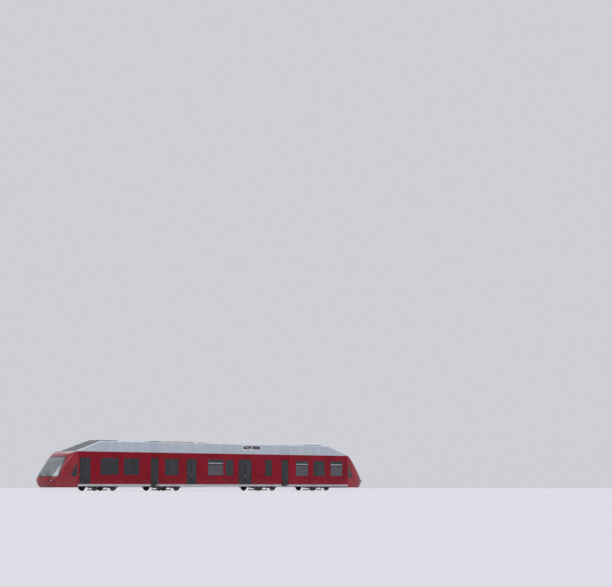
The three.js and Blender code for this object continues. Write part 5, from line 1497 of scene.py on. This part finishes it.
for section, body in SECTION_BODY.items():
    x0, x1 = CEILINGS[section]
    well = [x for x in BOGIES if DECK[section][0] < x < DECK[section][1]]
    sheets = [block((a, -1.13, FLOOR_TOP + 0.0003), (b, 1.13, FLOOR_TOP + 0.003), 0.001, 2, 1)
              for a, b in FLAT_FLOORS[section]]
    sheets += [block((x + a, -0.515, AISLE_TOP + 0.0003), (x + b, 0.515, AISLE_TOP + 0.003), 0.001, 2, 1)
               for a, b in ((-1.32, -0.05), (0.05, 1.32)) for x in well]
    panels = [block((x0, y - 0.27, CEILING - 0.03), (x1, y + 0.27, CEILING - 0.001), 0.02, 0, 3)
              for y in (-0.84, 0.0, 0.84)]
    strips = [block((x0 + 0.1, y - 0.07, CEILING - 0.045), (x1 - 0.1, y + 0.07, CEILING - 0.005), 0.02, 0, 3)
              for y in (-0.42, 0.42)]
    bars = [part for x in POLES[section] for y in (-POLE_LINE, POLE_LINE) for part in pole(x, y)]
    bars += [ceiling_rail(x0 + 0.6, x1 - 0.6, y) for y in (-0.60, 0.60)]
    make_pieces(body, f"_{section}", ("floor_covering", sheets, floor_covering, "cab_plastic"),
                ("ceiling_panels", panels, lining, "fairing_paint"),
                ("ceiling_lights", strips, light_strip, "lamp_glass"),
                ("handrails", bars, bright_steel, "roof_metal"))

# Current collector: a single arm of steel tube, folded, on a frame over four ribbed insulators. The
# lower arm tapers to a forked knee; the slender upper arm carries a head with two carbon strips.
FOOT = np.array([1.50, 0.0, 3.10])
KNEE = np.array([0.06, 0.0, 3.18])
HEAD = np.array([1.40, 0.0, 3.44])
SPRING_HEIGHT = 3.035
SPRING_SIDE = 0.25
STRIP_LINE = 0.130
arm_paint = lacquer("arm_paint", (0.23, 0.030, 0.028), (0.17, 0.026, 0.024), 0.4, film=0.15, coat=0.2,
                    top=3.6)
insulator_glaze = lacquer("insulator_glaze", (0.16, 0.050, 0.028), (0.12, 0.036, 0.022), 0.18, film=0.1,
                          coat=0.7, top=4.0)
carbon = rubber_of("carbon", (0.020, 0.020, 0.021))


def insulator(x, y):
    """Ribbed insulator: a stack of sheds whose radius swells and falls, between two metal caps."""
    z = np.linspace(2.800, 2.932, 49)
    sheds = 0.040 + 0.024 * np.abs(np.sin(np.pi * 5 * (z - 2.800) / 0.132)) ** 0.7
    profile = [(2.800, 0.0)] + list(zip(z, sheds)) + [(2.932, 0.0)]
    caps = [turned_part([(low, 0.0), (low, radius), (low + 0.022, radius - 0.006), (low + 0.022, 0.0)],
                        (x, y, 0), 2, 24) for low, radius in ((2.7803, 0.066), (2.930, 0.052))]
    return turned_part(profile, (x, y, 0), 2, 32), caps


sheds, caps = [], []
for x in (0.20, 1.50):
    for y in (-0.42, 0.42):
        stack, ends = insulator(x, y)
        sheds.append(stack)
        caps += ends
base = [block((0.10, sign * 0.392, 2.953), (1.60, sign * 0.448, 3.009), 0.010, 0, 3) for sign in (-1, 1)]
base += [block((x - 0.045, -0.44, 2.957), (x + 0.045, 0.44, 3.004), 0.010, 1, 3) for x in (0.20, 1.50)]
base += [block((FOOT[0] - 0.055, sign * 0.092, 2.962), (FOOT[0] + 0.055, sign * 0.118, FOOT[2] + 0.046),
               0.012, 1, 3) for sign in (-1, 1)]
pins = [tube([FOOT + [0, -0.124, 0], FOOT + [0, 0.124, 0]], 0.0195, 16)]
lift_springs = []
t = np.linspace(0, 1, 300)
angle = 2 * np.pi * 16 * t
for sign in (-1, 1):
    path = np.stack([0.62 + 0.62 * t, sign * SPRING_SIDE + 0.030 * np.cos(angle),
                     SPRING_HEIGHT + 0.030 * np.sin(angle)], -1)
    lift_springs.append(tube(path, 0.0055, 6))
    base += [tube([(a, sign * SPRING_SIDE, SPRING_HEIGHT), (b, sign * SPRING_SIDE, SPRING_HEIGHT)], 0.010, 10)
             for a, b in ((0.24, 0.63), (1.23, 1.46))]
    base += [block((a, sign * 0.235, 2.99), (a + 0.06, sign * 0.265, 3.06), 0.006, 1, 2)
             for a in (0.17, 1.46)]
t = np.linspace(0, 1, 12)[:, None]
stub = np.array([0.24, 0.0, 3.152])
lower = [tube(FOOT + (stub - FOOT) * t, np.interp(t[:, 0], [0, 0.15, 1], [0.050, 0.045, 0.034]), 18),
         turned_part([(-0.0895, 0.021), (-0.0895, 0.046), (-0.07, 0.050), (0.07, 0.050), (0.0895, 0.046),
                      (0.0895, 0.021), (-0.0895, 0.021)], FOOT, 1, 32),
         block((0.22, -0.098, 3.132), (0.27, 0.098, 3.172), 0.008, 1, 3)]
for sign in (-1, 1):
    cheek = softened([(KNEE[0] - 0.045, KNEE[2] - 0.01), (KNEE[0] + 0.02, KNEE[2] - 0.045), (0.30, 3.128),
                      (0.30, 3.172), (KNEE[0] + 0.03, KNEE[2] + 0.042), (KNEE[0] - 0.03, KNEE[2] + 0.035)],
                     0.014, 4)
    lower.append(prism(cheek, 1, sign * 0.0715, sign * 0.0985))
lower_pin = [tube([KNEE + [0, -0.108, 0], KNEE + [0, 0.108, 0]], 0.0195, 16)]
upper = [turned_part([(-0.0695, 0.021), (-0.0695, 0.040), (-0.05, 0.044), (0.05, 0.044), (0.0695, 0.040),
                      (0.0695, 0.021), (-0.0695, 0.021)], KNEE, 1, 32)]
for sign in (-1, 1):
    spread = np.stack([0 * t[:, 0], sign * np.interp(t[:, 0], [0, 0.12, 1], [0.045, 0.06, 0.24]),
                       0 * t[:, 0]], -1)
    upper.append(tube(KNEE + (HEAD - KNEE) * t + spread, np.interp(t[:, 0], [0, 1], [0.022, 0.015]), 14))
for share in (0.35, 0.68, 0.9):
    middle = KNEE + (HEAD - KNEE) * share
    wide = np.interp(share, [0, 0.12, 1], [0.045, 0.06, 0.24])
    upper.append(tube([middle + [0, -wide, 0], middle + [0, wide, 0]], 0.010, 10))
upper.append(tube([HEAD + [0, -0.398, 0], HEAD + [0, -0.2, 0], HEAD + [0, 0.2, 0], HEAD + [0, 0.398, 0]],
                  0.026, 16))
head_pin = [tube([HEAD + [0, sign * 0.39, 0], HEAD + [0, sign * 0.434, 0]], 0.019, 14) for sign in (-1, 1)]
head, strips, horns = [], [], []
for sign in (-1, 1):
    plate = softened([(HEAD[0] - 0.148, HEAD[2] + 0.068), (HEAD[0] - 0.148, HEAD[2] + 0.020),
                      (HEAD[0] - 0.04, HEAD[2] - 0.044), (HEAD[0] + 0.04, HEAD[2] - 0.044),
                      (HEAD[0] + 0.148, HEAD[2] + 0.020), (HEAD[0] + 0.148, HEAD[2] + 0.068)], 0.012, 4)
    head.append(prism(plate, 1, sign * 0.4015, sign * 0.4235))
    for x in (HEAD[0] - STRIP_LINE, HEAD[0] + STRIP_LINE):
        s = np.linspace(0, 1, 16)
        horn = np.stack([x + 0 * s, sign * (0.50 + 0.345 * s),
                         HEAD[2] + 0.082 + 0.004 * s - 0.150 * s ** 2.4], -1)
        horns.append(tube(horn, np.interp(s, [0, 0.9, 1], [0.015, 0.013, 0.006]), 12))
for x in (HEAD[0] - STRIP_LINE, HEAD[0] + STRIP_LINE):
    head.append(block((x - 0.022, -0.52, HEAD[2] + 0.062), (x + 0.022, 0.52, HEAD[2] + 0.080), 0.005, 1, 2))
    strips.append(block((x - 0.019, -0.515, HEAD[2] + 0.0795), (x + 0.019, 0.515, HEAD[2] + 0.0995),
                        0.006, 1, 3))
make_pieces("middle_section", "", ("collector_base", base, arm_paint, "arm_paint", "pantograph_base"),
            ("collector_insulators", sheds, insulator_glaze, "arm_paint", "pantograph_base"),
            ("collector_insulator_caps", caps + pins, bright_steel, "arm_paint", "pantograph_base"),
            ("collector_springs", lift_springs, spring_steel, "frame_paint"))
make_pieces("pantograph_lower", "",
            ("collector_lower_arm", lower, arm_paint, "arm_paint", "pantograph_lower_arm"),
            ("collector_knee_pin", lower_pin, bright_steel, "roof_metal"))
make_pieces("pantograph_upper", "",
            ("collector_upper_arm", upper, arm_paint, "arm_paint", "pantograph_upper_arm"),
            ("collector_head_pins", head_pin, bright_steel, "roof_metal"))
make_pieces("collector_head", "",
            ("collector_head_frame", head, bright_steel, "arm_paint", "pantograph_head"),
            ("collector_carbon_strips", strips, carbon, "arm_paint", "pantograph_head"),
            ("collector_horns", horns, natural_aluminium, "arm_paint", "pantograph_head"))

# Brow: a ribbed walkway sheet over the sloping front of each fairing, held down by two rails, its
# dark grey painted shade standing for the shade over that slope; behind the head of the windscreen a
# blank line display in a black housing.
SLOPE = [(-14.00, 2.796), (-11.60, 3.560)]
DISPLAY_HEIGHT = 2.262
FLAP_HEIGHT = 0.445
# Painted shade: the walkway's dark grey stands for the shade that lies over the sloping front.
slope_shade_grey = metal_of("slope_shade_grey", (0.28, 0.285, 0.29), (0.18, 0.18, 0.185), 0.6, metallic=0.1)


def on_slope(share, proud):
    """Point of the sloping face at a share of the way up, moved out along its normal by proud."""
    (x0, z0), (x1, z1) = SLOPE
    length = math.hypot(x1 - x0, z1 - z0)
    forward, up = (x1 - x0) / length, (z1 - z0) / length
    return x0 + (x1 - x0) * share - up * proud, z0 + (z1 - z0) * share + forward * proud


def slope_bar(share0, share1, y0, y1, low, high):
    """Bar on the slope between two shares of its length, low and high above it, as a prism in y."""
    corners = [on_slope(share0, low), on_slope(share1, low), on_slope(share1, high), on_slope(share0, high)]
    return prism(corners, 1, y0, y1)


walkway = [slope_bar(0.012, 0.985, -0.70, 0.70, 0.0005, 0.004)]
walkway += [slope_bar(share, share + 0.006, -0.67, 0.67, 0.003, 0.009)
            for share in np.linspace(0.04, 0.96, 40)]
rails = [slope_bar(0.012, 0.985, sign * 0.690, sign * 0.715, 0.0005, 0.012) for sign in (-1, 1)]
display_mesh = skin_piece(0.036, 0.044, rounded_outline(0.72, 0.075, 0.02, 4) + [0.0, DISPLAY_HEIGHT],
                          0, AHEAD)
housing_mesh = skin_piece(0.044, 0.085, rounded_outline(0.80, 0.115, 0.03, 4) + [0.0, DISPLAY_HEIGHT],
                          0, AHEAD)
display_face = varied("display_face", (0.62, 0.66, 0.66), (0.52, 0.56, 0.56), 8.0, 0.0002, Roughness=0.35)
flap_mesh = skin_piece(-0.0012, 0.002, rounded_outline(0.46, 0.165, 0.06, 6) + [0.0, FLAP_HEIGHT],
                       0, (-16.4, -15.6), rounded_outline(0.450, 0.155, 0.052, 6) + [0.0, FLAP_HEIGHT])
at_both_ends(("brow_walkway", walkway, slope_shade_grey, "roof_metal"),
             ("brow_rails", rails, black_rubber, "bellows_fabric"),
             ("line_display", display_mesh, display_face, "tinted_glass"),
             ("display_housing", housing_mesh, grained_plastic, "cab_plastic"),
             ("coupler_flap_seam", flap_mesh, black_rubber, "bellows_fabric"))

# Blind panel: a plain red panel beside the rear door of the middle section, whose joint shows as a
# thin dark line with round corners, drawn into the wall's lacquer.
PANEL = {"X": (3.58, 4.60), "Z": (1.14, 2.34)}
PANEL_JOINT = 0.016


def panelled(name, sign):
    """The walls' lacquer with one rectangular joint: the larger of both distances from the panel's
    edges is zero on the joint, which is darkened. The far side's panel, of sign -1, is turned."""
    material = lined(lacquer(name, RED, RED_DEEP, 0.30))
    tree = material.node_tree
    shader = tree.nodes["Principled BSDF"]
    axes = object_axes(tree)
    edges = []
    for axis, (low, high) in PANEL.items():
        centre = (low + high) / 2 * (sign if axis == "X" else 1)
        away = computed(tree, "ABSOLUTE", computed(tree, "SUBTRACT", axes[axis], centre))
        edges.append(computed(tree, "SUBTRACT", away, (high - low) / 2))
    near = computed(tree, "ABSOLUTE", computed(tree, "SMOOTH_MAX", *edges, 0.05))
    mask = ranged(tree, near, PANEL_JOINT * 0.6, PANEL_JOINT * 1.4, 1.0, 0.0)
    painted = shader.inputs["Base Color"].links[0].from_socket
    toned(tree, shader, mask, painted, (0.02, 0.004, 0.005))
    return material


dress(panelled("red_lacquer_near", 1), "side_wall_middle_near")
dress(panelled("red_lacquer_far", -1), "side_wall_middle_far")
